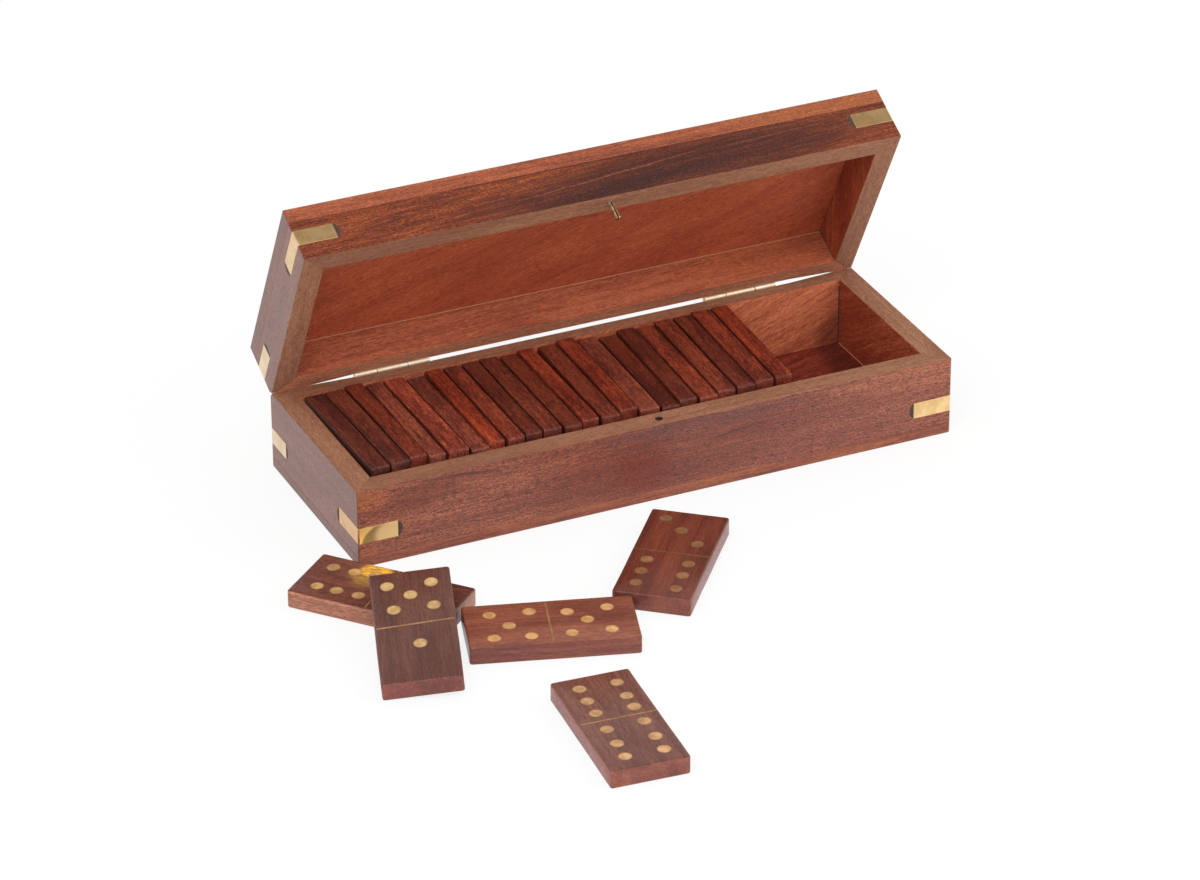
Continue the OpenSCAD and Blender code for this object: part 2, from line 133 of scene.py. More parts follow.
def weave(grid: np.ndarray, closed: bool = True) -> list[list[int]]:
    """Quads over a grid of points.

    Args:
        grid: Points as rows by columns by 3. Each row runs round the shape.
        closed: Whether a row's last point joins its first.

    Returns:
        Faces that index the grid's points, counted row by row.
    """
    rows, columns = grid.shape[:2]
    at = np.arange(rows * columns).reshape(rows, columns)
    beside = np.roll(at, -1, axis=1)
    if not closed:
        at, beside = at[:, :-1], beside[:, :-1]
    quads = np.stack([at[:-1], beside[:-1], beside[1:], at[1:]], axis=-1)
    return quads.reshape(-1, 4).tolist()


def capped(grid: np.ndarray, slot: int = 0) -> Patch:
    """A closed skin over rows of rings, with a flat face at the first and the last ring."""
    count = grid.shape[1]
    faces = weave(grid)
    faces.append(list(range(count))[::-1])
    faces.append(list(range(grid.shape[0] * count - count, grid.shape[0] * count)))
    return Patch(grid.reshape(-1, 3), faces, slot)


def joined(patches: Sequence[Patch]) -> tuple[np.ndarray, list[list[int]], np.ndarray]:
    """Points, faces and material slots of several patches as those of one mesh."""
    points = np.concatenate([patch.points for patch in patches])
    starts = np.cumsum([0] + [len(patch.points) for patch in patches])
    faces = [
        [start + corner for corner in face]
        for patch, start in zip(patches, starts.tolist())
        for face in patch.faces
    ]
    slots = np.repeat([p.slot for p in patches], [len(p.faces) for p in patches])
    return points, faces, slots


def write_vectors(mesh: bpy.types.Mesh, name: str, values: np.ndarray) -> None:
    """Stores one vector per vertex under a name that the materials read."""
    layer = mesh.attributes.new(name, "FLOAT_VECTOR", "POINT")
    layer.data.foreach_set("vector", np.ascontiguousarray(values, np.float32).ravel())


def vertices(mesh: bpy.types.Mesh) -> np.ndarray:
    """The mesh's points as an array."""
    points = np.empty(len(mesh.vertices) * 3, np.float32)
    mesh.vertices.foreach_get("co", points)
    return points.reshape(-1, 3).astype(float)


def face_normals(mesh: bpy.types.Mesh) -> np.ndarray:
    """The normals of the mesh's faces as an array."""
    normals = np.empty(len(mesh.polygons) * 3, np.float32)
    mesh.polygons.foreach_get("normal", normals)
    return normals.reshape(-1, 3).astype(float)


def merge(mesh: bpy.types.Mesh, flatten: bool = False) -> None:
    """Joins points that lie together, and faces that lie in one plane if asked to."""
    work = bmesh.new()
    work.from_mesh(mesh)
    bmesh.ops.remove_doubles(work, verts=work.verts, dist=SAME_POINT * MM)
    if flatten:
        bmesh.ops.dissolve_limit(
            work,
            angle_limit=math.radians(SAME_PLANE),
            use_dissolve_boundaries=False,
            verts=work.verts,
            edges=work.edges,
        )
    bmesh.ops.recalc_face_normals(work, faces=work.faces)
    work.to_mesh(mesh)
    work.free()


def soft_edges(piece: bpy.types.Object, width: float, angle: float = 28) -> None:
    """Rounds the sharp edges of a piece.

    Args:
        piece: The object.
        width: The width of the rounding in millimetres.
        angle: The least angle, in degrees, at which an edge counts as sharp.
    """
    bevel = piece.modifiers.new("soft_edges", "BEVEL")
    bevel.width = width * MM
    bevel.segments = 2
    bevel.limit_method = "ANGLE"
    bevel.angle_limit = math.radians(angle)
    bevel.use_clamp_overlap = True
    bevel.harden_normals = False
    bevel.miter_outer = "MITER_ARC"


@dataclass(frozen=True)
class Grain:
    """How the wood of a piece runs and how its colour differs from the finish's.

    Attributes:
        place: The piece's own axes.
        order: Which of them run along the grain, across it and out of the face.
        shift: Where in the tree the piece was cut, in millimetres.
    """

    place: Place
    order: tuple[int, int, int] = (0, 1, 2)
    shift: Triple = NO_SHIFT

    def write(self, mesh: bpy.types.Mesh, tone: np.ndarray) -> None:
        """Stores for each vertex where it lies in the wood, in millimetres, and its tone.

        Args:
            mesh: The mesh, in place.
            tone: Colour factors, one for the mesh or one for each vertex.
        """
        own = self.place.into(vertices(mesh))[:, self.order] / MM
        write_vectors(mesh, "own", own)
        write_vectors(mesh, "grain", own + self.shift)
        write_vectors(mesh, "tone", np.broadcast_to(tone, own.shape))


def piece_of(
    name: str,
    mesh: bpy.types.Mesh,
    finishes: Sequence[bpy.types.Material],
    body: str,
    stands_for: Sequence[str],
) -> bpy.types.Object:
    """Puts a finished mesh into the scene.

    Args:
        name: The piece's name.
        mesh: Its mesh, in place, in metres.
        finishes: Its materials, in the order of its faces' slots.
        body: The body that it moves with.
        stands_for: The CAD nodes that it replaces.

    Returns:
        The object.
    """
    mesh.name = name
    for finish in finishes:
        mesh.materials.append(finish)
    piece = bpy.data.objects.new(name, mesh)
    bpy.context.scene.collection.objects.link(piece)
    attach(piece, body)
    if stands_for:
        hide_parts(*stands_for)
    log.info("%s: %d faces, rides on %s", name, len(mesh.polygons), body)
    return piece


def mesh_of(patches: Sequence[Patch], sharp: float = 35) -> bpy.types.Mesh:
    """A mesh of patches, smooth but for edges sharper than an angle in degrees."""
    points, faces, slots = joined(patches)
    mesh = bpy.data.meshes.new("patches")
    mesh.from_pydata(points, [], faces)
    mesh.polygons.foreach_set("material_index", slots.astype(np.int32))
    merge(mesh)
    smooth(mesh, sharp)
    return mesh


def smooth(mesh: bpy.types.Mesh, sharp: float) -> None:
    """Shades a mesh smooth but for edges sharper than an angle in degrees."""
    mesh.shade_smooth()
    mesh.set_sharp_from_angle(angle=math.radians(sharp))


def copy_of(node: str, sharp: float = 35) -> bpy.types.Mesh:
    """A clean copy of a CAD node's mesh: merged, with its flat faces whole."""
    mesh = frame["nodes"][node].data.copy()
    mesh.materials.clear()
    for layer in [a for a in mesh.attributes if a.name.startswith("UV")]:
        mesh.attributes.remove(layer)
    merge(mesh, flatten=True)
    smooth(mesh, sharp)
    return mesh


# ---- finishes ------------------------------------------------------------------------


def linear(colour: str) -> tuple[float, float, float, float]:
    """A colour written as six hexadecimal digits, as linear light."""
    parts = np.array([int(colour[i : i + 2], 16) for i in (0, 2, 4)]) / 255
    light = np.where(parts <= 0.04045, parts / 12.92, ((parts + 0.055) / 1.055) ** 2.4)
    return (float(light[0]), float(light[1]), float(light[2]), 1.0)


# Share of a lens's half lengths within which it counts in full.
LENS_CORE = 0.25


class Nodes:
    """Builds the node tree of a material or of a world."""

    def __init__(self, owner: Any) -> None:
        """Starts an empty tree on a new material or world."""
        owner.use_nodes = True
        self.owner = owner
        self.tree = owner.node_tree
        self.tree.nodes.clear()

    def add(self, kind: str, **settings: Any) -> bpy.types.Node:
        """Adds a node and sets its properties."""
        node = self.tree.nodes.new("ShaderNode" + kind)
        for name, value in settings.items():
            setattr(node, name, value)
        return node

    def link(self, source: Any, target: Any) -> None:
        """Joins an output to an input."""
        self.tree.links.new(source, target)

    def feed(self, socket: Any, value: Any) -> None:
        """Links an output to a socket, or writes a constant on it."""
        if isinstance(value, bpy.types.NodeSocket):
            self.link(value, socket)
        else:
            socket.default_value = value

    def math(self, operation: str, *values: Any) -> Any:
        """The result of a maths node on up to three values."""
        node = self.add("Math", operation=operation)
        for socket, value in zip(node.inputs, values):
            self.feed(socket, value)
        return node.outputs[0]

    def vector(self, operation: str, *values: Any) -> Any:
        """The result of a vector maths node."""
        node = self.add("VectorMath", operation=operation)
        for socket, value in zip(node.inputs, values):
            self.feed(socket, value)
        return node.outputs["Value" if operation == "LENGTH" else "Vector"]

    def turned(self, where: Any, degrees: float) -> Any:
        """A vector turned about Z, against the clock."""
        node = self.add("VectorRotate", rotation_type="Z_AXIS")
        self.link(where, node.inputs["Vector"])
        node.inputs["Angle"].default_value = math.radians(degrees)
        return node.outputs[0]

    def scaled(self, where: Any) -> Any:
        """Object coordinates in millimetres."""
        node = self.add("VectorMath", operation="SCALE")
        self.link(where, node.inputs[0])
        node.inputs["Scale"].default_value = 1 / MM
        return node.outputs[0]

    def lens(
        self, where: Any, middle: Sequence[float], size: Sequence[float], turn: Sequence[float]
    ) -> Any:
        """A soft lens: 1 in its middle and 0 beyond its half lengths, turned by degrees."""
        node = self.add("Mapping", vector_type="TEXTURE")
        self.link(where, node.inputs["Vector"])
        node.inputs["Location"].default_value = tuple(middle)
        node.inputs["Rotation"].default_value = tuple(math.radians(angle) for angle in turn)
        node.inputs["Scale"].default_value = tuple(size)
        return self.span(self.vector("LENGTH", node.outputs[0]), 1.0, LENS_CORE)

    def noise(self, where: Any, scale: Triple, detail: float = 2, rough: float = 0.5) -> Any:
        """Noise from 0 to 1, with its own scale along each axis, per millimetre."""
        node = self.add("TexNoise")
        self.link(self.vector("MULTIPLY", where, scale), node.inputs["Vector"])
        node.inputs["Scale"].default_value = 1
        node.inputs["Detail"].default_value = detail
        node.inputs["Roughness"].default_value = rough
        return node.outputs["Fac"]

    def span(self, value: Any, low: float, high: float, start: float = 0, end: float = 1) -> Any:
        """Maps a value from low..high to start..end, smoothly and within those ends."""
        node = self.add("MapRange", interpolation_type="SMOOTHSTEP")
        for socket, given in zip(node.inputs, (value, low, high, start, end)):
            self.feed(socket, given)
        return node.outputs[0]

    def ramp(self, value: Any, stops: Sequence[tuple[float, str]]) -> Any:
        """A colour ramp over stops of position and colour."""
        node = self.add("ValToRGB")
        elements = node.color_ramp.elements
        while len(elements) < len(stops):
            elements.new(0.5)
        for element, (position, colour) in zip(elements, stops):
            element.position = position
            element.color = linear(colour)
        self.link(value, node.inputs["Fac"])
        return node.outputs["Color"]

    def mix(self, amount: Any, first: Any, second: Any, blend: str = "MIX") -> Any:
        """Mixes two colours."""
        node = self.add("Mix", data_type="RGBA", blend_type=blend)
        for index, value in ((0, amount), (6, first), (7, second)):
            self.feed(node.inputs[index], value)
        return node.outputs[2]

    def attribute(self, name: str) -> Any:
        """The vector that a piece's vertices carry under a name."""
        return self.add("Attribute", attribute_name=name).outputs["Vector"]

    def bump(self, height: Any, distance: float, strength: float = 1.0) -> Any:
        """A bumped normal. The distance is in millimetres."""
        node = self.add("Bump")
        node.inputs["Strength"].default_value = strength
        node.inputs["Distance"].default_value = distance * MM
        self.link(height, node.inputs["Height"])
        return node.outputs["Normal"]

    def surface(self, inputs: dict[str, Any]) -> bpy.types.Material:
        """Ends the tree with a Principled surface and returns the material."""
        shader = self.add("BsdfPrincipled")
        for name, value in inputs.items():
            self.feed(shader.inputs[name], value)
        self.link(shader.outputs[0], self.add("OutputMaterial").inputs["Surface"])
        return self.owner

    def shader(self, kind: str, colour: Triple, strength: Any = None) -> Any:
        """A plain shader with a colour and, where it has one, a strength."""
        node = self.add(kind)
        node.inputs["Color"].default_value = (*colour, 1)
        if strength is not None:
            self.feed(node.inputs["Strength"], strength)
        return node.outputs[0]

    def looking(self) -> Any:
        """1 on the camera's rays and on those off a mirror or through glass, else 0."""
        path = self.add("LightPath")
        camera, mirror, glass = (
            path.outputs[f"Is {kind} Ray"] for kind in ("Camera", "Glossy", "Transmission")
        )
        return self.math("MAXIMUM", self.math("MAXIMUM", camera, mirror), glass)

    def end(self, kind: str, amount: Any, lights: Any, shows: Any) -> None:
        """Ends the tree with a mix of the shader that lights and the one that shows."""
        mix = self.add("MixShader")
        for socket, source in zip(mix.inputs, (amount, lights, shows)):
            self.link(source, socket)
        self.link(mix.outputs[0], self.add(kind).inputs["Surface"])


# Noises of the wood, as changes per millimetre along the grain, across it and out of it.
WANDER = (0.014, 0.05, 0.05)
RIPPLE = (0.07, 0.2, 0.2)
PATCHES = (0.03, 0.11, 0.11)
BANDS = (0.012, 0.35, 0.35)
GROWTH_LINES = (0.07, 1.6, 1.6)
FLECKS = (0.5, 2.4, 2.4)
SHORT_FLECKS = (0.7, 3.6, 3.6)
LONG_PORES = (0.3, 3.4, 3.4)
FINE_PORES = (0.9, 5.0, 5.0)
SAW_MARKS = (4.0, 0.35, 0.35)

# How far the ripple moves the growth lines to either side, in millimetres.
RIPPLE_HEIGHT = 1.0

# Where in their noises the figure, the flecks, the pores and the saw marks start and end.
FIGURE_REACH = 0.13
FLECK_SPAN = (0.38, 0.62)
BROKEN_SPAN = (0.38, 0.6)
LONG_PORE_SPAN = (0.59, 0.65)
FINE_PORE_SPAN = (0.6, 0.67)
SAW_SPAN = (0.4, 0.7)

# The least share of a streak that shows between the flecks.
BROKEN = 0.4

# Half a length that goes beyond every piece, in millimetres.
ENDLESS = 10000


@dataclass(frozen=True)
class Streak:
    """A lens-shaped streak of another colour, in a piece's own axes and millimetres.

    Attributes:
        middle: Its middle along and across the grain.
        size: Half its length and half its width.
        turn: Its slope in degrees.
        colour: The colour in its middle.
        strength: How much of that colour shows there.
        soft: How much of its half length its edge fades over.
    """

    middle: Pair
    size: Pair
    turn: float
    colour: str
    strength: float = 0.6
    soft: float = 1.0


@dataclass(frozen=True)
class Wood:
    """A finish of rosewood: three colours of its figure, its pores and its polish.

    Attributes:
        name: The material's name.
        dark: Colour of the dark figure.
        mid: Colour between the two.
        light: Colour of the light figure.
        pore: Colour of the open pores.
        figure: How much patches, bands, growth lines and flecks each count.
        contrast: How strongly the figure shows.
        speckle: How much short flecks lighten and darken the figure, from 0 to 1.
        fine: How fine the flecks are.
        pores: How strongly the pores show, from 0 to 1.
        wave: How far the bands wander across the grain, in millimetres.
        slant: Slope of the grain, in degrees.
        rough: Roughness of the surface.
        relief: Depth of the pores in millimetres.
        sheen: How much the surface mirrors: the specular level.
        saw: How strongly sanding marks show across the grain.
        streaks: Streaks of heartwood and other marks, and painted shadows, in their own places.
    """

    name: str
    dark: str
    mid: str
    light: str
    pore: str = "3a1a12"
    figure: tuple[float, float, float, float] = (0.2, 0.2, 0.3, 0.3)
    contrast: float = 1.0
    speckle: float = 0.2
    fine: float = 1.0
    pores: float = 0.5
    wave: float = 3.0
    slant: float = 0.0
    rough: float = 0.4
    relief: float = 0.04
    sheen: float = 0.5
    saw: float = 0.0
    streaks: tuple[Streak, ...] = ()

    def finer(self, scale: Triple) -> Triple:
        """The scale of a noise of flecks, made finer."""
        return (self.fine * scale[0], self.fine * scale[1], self.fine * scale[2])

    def material(self) -> bpy.types.Material:
        """Patches, bands, growth lines, flecks and pores, read from the piece's own grain."""
        n = Nodes(bpy.data.materials.new(self.name))
        grain = n.turned(n.attribute("grain"), -self.slant)

        wander, ripple = n.noise(grain, WANDER), n.noise(grain, RIPPLE)
        rippled = n.math("MULTIPLY", ripple, 2 * RIPPLE_HEIGHT)
        offset = n.math("MULTIPLY_ADD", wander, 2 * self.wave, rippled)
        sway = n.add("CombineXYZ")
        n.link(n.math("SUBTRACT", offset, self.wave + RIPPLE_HEIGHT), sway.inputs["Y"])
        bent = n.vector("ADD", grain, sway.outputs[0])

        lines = n.noise(bent, GROWTH_LINES, rough=0.6)
        flecks = n.noise(grain, self.finer(FLECKS), rough=0.6)
        layers = (n.noise(grain, PATCHES), n.noise(bent, BANDS, rough=0.55), lines, flecks)
        total = sum(self.figure)
        figure: Any = 0.0
        for layer, weight in zip(layers, self.figure):
            figure = n.math("MULTIPLY_ADD", layer, weight / total, figure)
        reach = FIGURE_REACH / self.contrast
        colour = n.ramp(
            n.span(figure, 0.5 - reach, 0.5 + reach),
            ((0.0, self.dark), (0.5, self.mid), (1.0, self.light)),
        )
        swayed = n.vector("ADD", n.attribute("own"), sway.outputs[0])
        for streak in self.streaks:
            lens = n.lens(swayed, (*streak.middle, 0), (*streak.size, ENDLESS), (0, 0, streak.turn))
            broken = n.span(flecks, *BROKEN_SPAN, BROKEN * streak.strength, streak.strength)
            weight = n.math("MULTIPLY", n.span(lens, 0, streak.soft), broken)
            colour = n.mix(weight, colour, linear(streak.colour))

        short = n.noise(bent, self.finer(SHORT_FLECKS), 3, 0.65)
        factor = n.span(short, *FLECK_SPAN, 1 - self.speckle, 1 + self.speckle)
        colour = n.mix(1.0, colour, factor, "MULTIPLY")
        long_pores = n.span(n.noise(bent, LONG_PORES, rough=0.55), *LONG_PORE_SPAN)
        fine_pores = n.span(n.noise(bent, FINE_PORES, 1), *FINE_PORE_SPAN)
        pores = n.math("MAXIMUM", long_pores, n.math("MULTIPLY", fine_pores, 0.6))
        colour = n.mix(n.math("MULTIPLY", pores, self.pores), colour, linear(self.pore))

        height = n.math("SUBTRACT", n.math("MULTIPLY", short, 0.5), pores)
        if self.saw:
            marks = n.noise(grain, SAW_MARKS)
            height = n.math("MULTIPLY_ADD", marks, self.saw, height)
            shade = n.span(marks, *SAW_SPAN, 0, 0.16 * self.saw)
            colour = n.mix(shade, colour, linear(self.dark))

        dull = n.math("MULTIPLY_ADD", lines, 0.12, self.rough - 0.06)
        return n.surface({
            "Base Color": n.mix(1.0, colour, n.attribute("tone"), "MULTIPLY"),
            "Roughness": n.math("MULTIPLY_ADD", pores, 0.12, dull),
            "Specular IOR Level": self.sheen,
            "Normal": n.bump(height, self.relief),
        })


# Noises of the sanding scratches, as changes per millimetre along X, Y and Z.
SCRATCHES = (0.5, 9.0, 9.0)
CROSS_SCRATCHES = (8.0, 0.6, 5.0)


@dataclass(frozen=True)
class Brass:
    """A finish of brass: its colour, its tarnish and the fine scratches of its sanding.

    Attributes:
        name: The material's name.
        bright: Colour of the clean metal.
        dull: Colour of the tarnish.
        rough: Roughness of the surface.
        metal: How much it mirrors like a metal.
        scratch: Depth of the scratches in millimetres.
        patch: Size of the clouds of tarnish in millimetres.
        marks: Painted reflections, bright and dark patches of what it mirrors, along the
        piece's length and height.
    """

    name: str
    bright: str
    dull: str
    rough: float = 0.3
    metal: float = 1.0
    scratch: float = 0.01
    patch: float = 5.0
    marks: tuple[Streak, ...] = ()

    def material(self) -> bpy.types.Material:
        """Cloudy tarnish over bright metal, with scratches and painted reflections."""
        n = Nodes(bpy.data.materials.new(self.name))
        where = n.scaled(n.add("TexCoord").outputs["Object"])
        cloud = n.noise(where, (1 / self.patch,) * 3, 3, 0.6)
        scratches = n.noise(where, SCRATCHES)
        cross = n.noise(where, CROSS_SCRATCHES)
        colour = n.ramp(n.span(cloud, 0.35, 0.65), ((0.0, self.dull), (1.0, self.bright)))
        colour = n.mix(1.0, colour, n.attribute("tone"), "MULTIPLY")
        # Painted reflections: bright and dark patches laid over the metal's colour.
        for reflection in self.marks:
            (x, z), (length, height) = reflection.middle, reflection.size
            lens = n.lens(where, (x, 0, z), (length, ENDLESS, height), (0, -reflection.turn, 0))
            weight = n.span(lens, 0, reflection.soft, 0, reflection.strength)
            colour = n.mix(weight, colour, linear(reflection.colour))
        return n.surface({
            "Base Color": colour,
            "Metallic": self.metal,
            "Roughness": n.math("MULTIPLY_ADD", cloud, -0.12, self.rough + 0.06),
            "Normal": n.bump(n.math("ADD", scratches, cross), self.scratch),
        })


# The noise of the pits in wax and glue, as changes per millimetre.
PITS = (2.5, 2.5, 2.5)


@dataclass(frozen=True)
class Filler:
    """Wax or glue, matt and a little uneven; the dark wax also paints shade in holes and corners.

    Attributes:
        name: The material's name.
        colour: Its colour.
        pits: Colour of its small pits.
        rough: Roughness of the surface.
    """

    name: str
    colour: str
    pits: str
    rough: float = 0.7

    def material(self) -> bpy.types.Material:
        """A dull surface with small pits."""
        n = Nodes(bpy.data.materials.new(self.name))
        where = n.scaled(n.add("TexCoord").outputs["Object"])
        pits = n.noise(where, PITS, 3, 0.7)
        amount = n.span(pits, 0.35, 0.7, 0, 0.7)
        return n.surface({
            "Base Color": n.mix(amount, linear(self.colour), linear(self.pits)),
            "Roughness": self.rough,
            "Normal": n.bump(pits, 0.1),
        })


def waxed(name: str, dark: str, mid: str, light: str, pores: float = 0.3, **more: Any) -> Wood:
    """A finish of the inside, which is duller than the oiled outside."""
    return Wood(name, dark, mid, light, pores=pores, rough=0.6, sheen=0.3, **more)


def bare(name: str, dark: str, mid: str, light: str, streaks: tuple[Streak, ...] = ()) -> Wood:
    """A finish of the rims, which are sawn and sanded but not oiled."""
    return Wood(
        name, dark, mid, light, contrast=0.7, pores=0.25, rough=0.7, sheen=0.2, saw=0.6,
        streaks=streaks,
    )


def end_grain(name: str, dark: str, mid: str, light: str) -> Wood:
    """A finish of the box's two ends, smoother than its front; its greyer, paler colour is partly
    the wood's own and mostly a painted sheen of the light that grazes them.
    """
    return Wood(name, dark, mid, light, contrast=0.8, pores=0.3, rough=0.34)


class Finish(Enum):
    """The finishes of the box and its dominoes."""

    BASE_FRONT = Wood(
        "oiled_base_front", "6f3427", "8f4c38", "aa6344", pore="35140d",
        figure=(0.15, 0.15, 0.3, 0.4), contrast=1.1, speckle=0.5, fine=1.7, pores=0.85,
        streaks=(
            Streak((4, 14), (75, 18), 4, "66281b", 0.7),
            Streak((-5, 12), (14, 12), 4, "762410", 0.75),
            Streak((14, 23.5), (58, 3.6), 1, "543032"),
            Streak((-68, 24.5), (22, 0.9), -2, "47201a", 0.7),
            Streak((-78, 20), (22, 5), 4, "62290f", 0.45),
            Streak((27, 18.5), (15, 1.0), 5, "4c241d", 0.7),
            Streak((-96, 22), (9, 5), 0, "b4683a"),
            Streak((-97, 4), (8, 5), 0, "ac6238", 0.5),
            Streak((-60, 10), (30, 0.8), 3, "5a2a20", 0.5),
            Streak((62, 9), (34, 1.2), -2, "6e3a2c", 0.4),
            Streak((60, 10), (52, 16), 0, "83453a", 0.5),
        ),
    )
    LID_FRONT = Wood(
        "oiled_lid_front", "5a2009", "7e3517", "a05124",
        figure=(0.15, 0.15, 0.35, 0.35), contrast=1.1, speckle=0.5, fine=1.7, pores=0.75,
        wave=1.5, slant=3, rough=0.45, sheen=0.35,
        streaks=(
            Streak((25, 31), (100, 15), 3, "38140e", 0.92),
            Streak((14, 29.4), (50, 5.0), 3, "2a0d0c", 0.7),
            Streak((2, 33.6), (50, 0.4), 4.5, "a0583c", 0.65),
            Streak((40, 34.5), (34, 0.8), 3, "2e1216"),
            Streak((-40, 29.5), (26, 1.0), 3, "3c1610", 0.5),
            Streak((2, 39.9), (99, 0.6), 0, "35150f", 0.7),
            Streak((-72, 33), (14, 0.9), 7, "4a1d12"),
            Streak((-52, 37), (18, 0.8), -3, "4c2012", 0.5),
            Streak((66, 31), (26, 0.8), 4, "2e1614"),
            Streak((60, 36.5), (30, 0.4), 3, "8a4c38", 0.5),
        ),
    )
    PLAIN = Wood("oiled_plain", "5f281e", "7e3e2d", "955238")
    END = end_grain("oiled_end", "684238", "7c4f43", "905d4d")
    PANEL_END = end_grain("oiled_panel_end", "644037", "784d43", "89594c")
    TOP = Wood(
        "oiled_top", "76341d", "964829", "ad5c32",
        figure=(0.2, 0.4, 0.35, 0.3), speckle=0.35, fine=1.5, pores=0.45,
        streaks=(Streak((78, -35), (45, 12), 0, "b0642e"),),
    )
    INSIDE = waxed("waxed_inside", "88442f", "a3573c", "b86a48", slant=3)
    REAR = waxed(
        "waxed_rear", "8b4530", "a7583d", "bc6b49", slant=3,
        streaks=(Streak((68, 33), (45, 12), 0, "b8623a"),),
    )
    BAY = waxed(
        "waxed_bay", "a85439", "c76b4a", "de845a", slant=22,
        # Painted shadow: the dark lens low at the right of the back wall, where the right wall's
        # shadow falls.
        streaks=(Streak((94, 3), (13, 20), 0, "5a2617", 0.85, soft=0.8),),
    )
    BAY_END = waxed("waxed_bay_end", "883922", "a0492e", "ba643f", 0.35, slant=-30)
    # Painted shade: the bay floor is darker than the other inside faces, and its dark lens at the
    # right is the painted shadow of the right wall.
    BAY_FLOOR = waxed(
        "waxed_bay_floor", "66251a", "833524", "a34934", 0.5, contrast=1.4, slant=20,
        streaks=(Streak((96, 8), (20, 60), 0, "521d14", 0.95, soft=0.7),),
    )
    FOOT = Wood(
        "oiled_foot", "6d3422", "8c4830", "a15b39", figure=(0.2, 0.5, 0.35, 0.2), pores=0.35
    )
    CEILING = waxed(
        "waxed_ceiling", "95412a", "b85939", "d1704b", 0.5,
        figure=(0.25, 0.15, 0.3, 0.4), contrast=0.55, slant=-25,
    )
    RIM = bare(
        "bare_rim", "835841", "9b6a51", "aa7b5d", (Streak((-75, 26.2), (62, 6), 0, "744736", 0.4),)
    )
    RIM_LIT = bare("bare_rear_rim", "a2694e", "c07e61", "d2926f")
    TILE = Wood(
        "domino_wood", "481a10", "6f2d1f", "8c4128",
        figure=(0.25, 0.15, 0.3, 0.3), contrast=1.3, speckle=0.32, pores=0.75,
        wave=2, rough=0.5, sheen=0.4,
    )
    WORN = Wood(
        "domino_polished", "4f231a", "6a3226", "7e4231",
        figure=(0.4, 0.25, 0.3, 0.2), contrast=0.75, speckle=0.14, pores=0.28, wave=2, rough=0.26,
    )
    # Painted light: the golden patches are a glint of light thrown by the brass onto the face of
    # one loose domino, painted into its colour.
    GILT = Wood(
        "domino_gilt", "4f231a", "6a3226", "7e4231",
        figure=(0.4, 0.2, 0.2, 0.3), wave=2, rough=0.26,
        streaks=(
            Streak((6.2, -5), (8.5, 9), 10, "c08a3c", 0.8),
            Streak((5.6, -8.6), (6.5, 4.6), 0, "ffb040", 1.0, soft=0.4),
        ),
    )
    STRAP = Brass("strap_brass", "efc890", "d9b077")
    # A lighter copy of the strap brass with painted reflections: a bright highlight, a sharp dark
    # patch of what it mirrors and a second glow.
    STRAP_LIT = Brass("strap_brass_lit", "fde0ae", "ecc890", marks=(
        Streak((-99.5, 12.5), (6, 6), 0, "ffd684", 1.0, soft=0.7),
        Streak((-92.5, 7.0), (7.1, 7.1), 0, "8f7448", 0.85, soft=0.07),
        Streak((-89.5, 10.0), (7, 6), 0, "e0bc84", 1.0, soft=0.7),
    ))
    # A paler copy of the strap brass for faces that look left or right: painted light on those
    # faces.
    STRAP_SIDE = Brass("strap_brass_pale", "ecd0a2", "dfc190")
    # Painted highlight: the hinge's near-white colour and low metalness stand in for the creamy
    # gleam along its knuckles.
    HINGE = Brass("hinge_brass", "fff6e4", "fbe2bc", rough=0.36, metal=0.55)
    PIN = Brass("pin_brass", "f6dca8", "c8a060", rough=0.26, metal=0.8)
    # Painted highlight: the catch's near-white bright colour stands in for the gleam on the pin.
    CATCH = Brass("catch_brass", "fff2d4", "a8875a", rough=0.26, metal=0.9, patch=1.6)
    PIP = Brass("pip_brass", "dbad75", "b98f5a", rough=0.45, metal=0.6, patch=2.5)
    # Dark wax fills the straps' slots; the same colour paints the shade in the catch's hole and in
    # the inner corners.
    WAX = Filler("dark_wax", "2c2220", "6b4a38")
    TORN = Filler("torn_wood", "a4664c", "74402e")
    GLUE = Filler("pale_glue", "d09468", "8e4e34")


class Finishes:
    """Makes each finish's material once."""

    def __init__(self) -> None:
        """Starts with no material made."""
        self.made: dict[Finish, bpy.types.Material] = {}

    def get(self, finish: Finish) -> bpy.types.Material:
        """The material of a finish."""
        if finish not in self.made:
            self.made[finish] = finish.value.material()
        return self.made[finish]

    def several(self, finishes: Sequence[Finish]) -> list[bpy.types.Material]:
        """The materials of several finishes."""
        return [self.get(finish) for finish in finishes]


# ---- the hinge and the two halves ----------------------------------------------------


def hinge_joint() -> dict[str, Any]:
    """The joint that the lid turns on."""
    return next(joint for joint in frame["joints"] if joint["name"] == "box_lid_hinge")


class Half(Enum):
    """The two halves of the box."""

    BASE = "base"
    LID = "lid"

    def place(self) -> Place:
        """Axes in which the half lies as it does in the shut box."""
        if self is Half.BASE:
            return place((0, 0, 0), np.eye(3))
        joint = hinge_joint()
        turn = turned("X", joint["range_deg"][0])
        pivot = np.array(joint["pos_m"], float)
        return place(pivot - turn @ pivot, turn)

    def rim(self) -> int:
        """1 where the shut half's rim looks up, -1 where it looks down."""
        return 1 if self is Half.BASE else -1


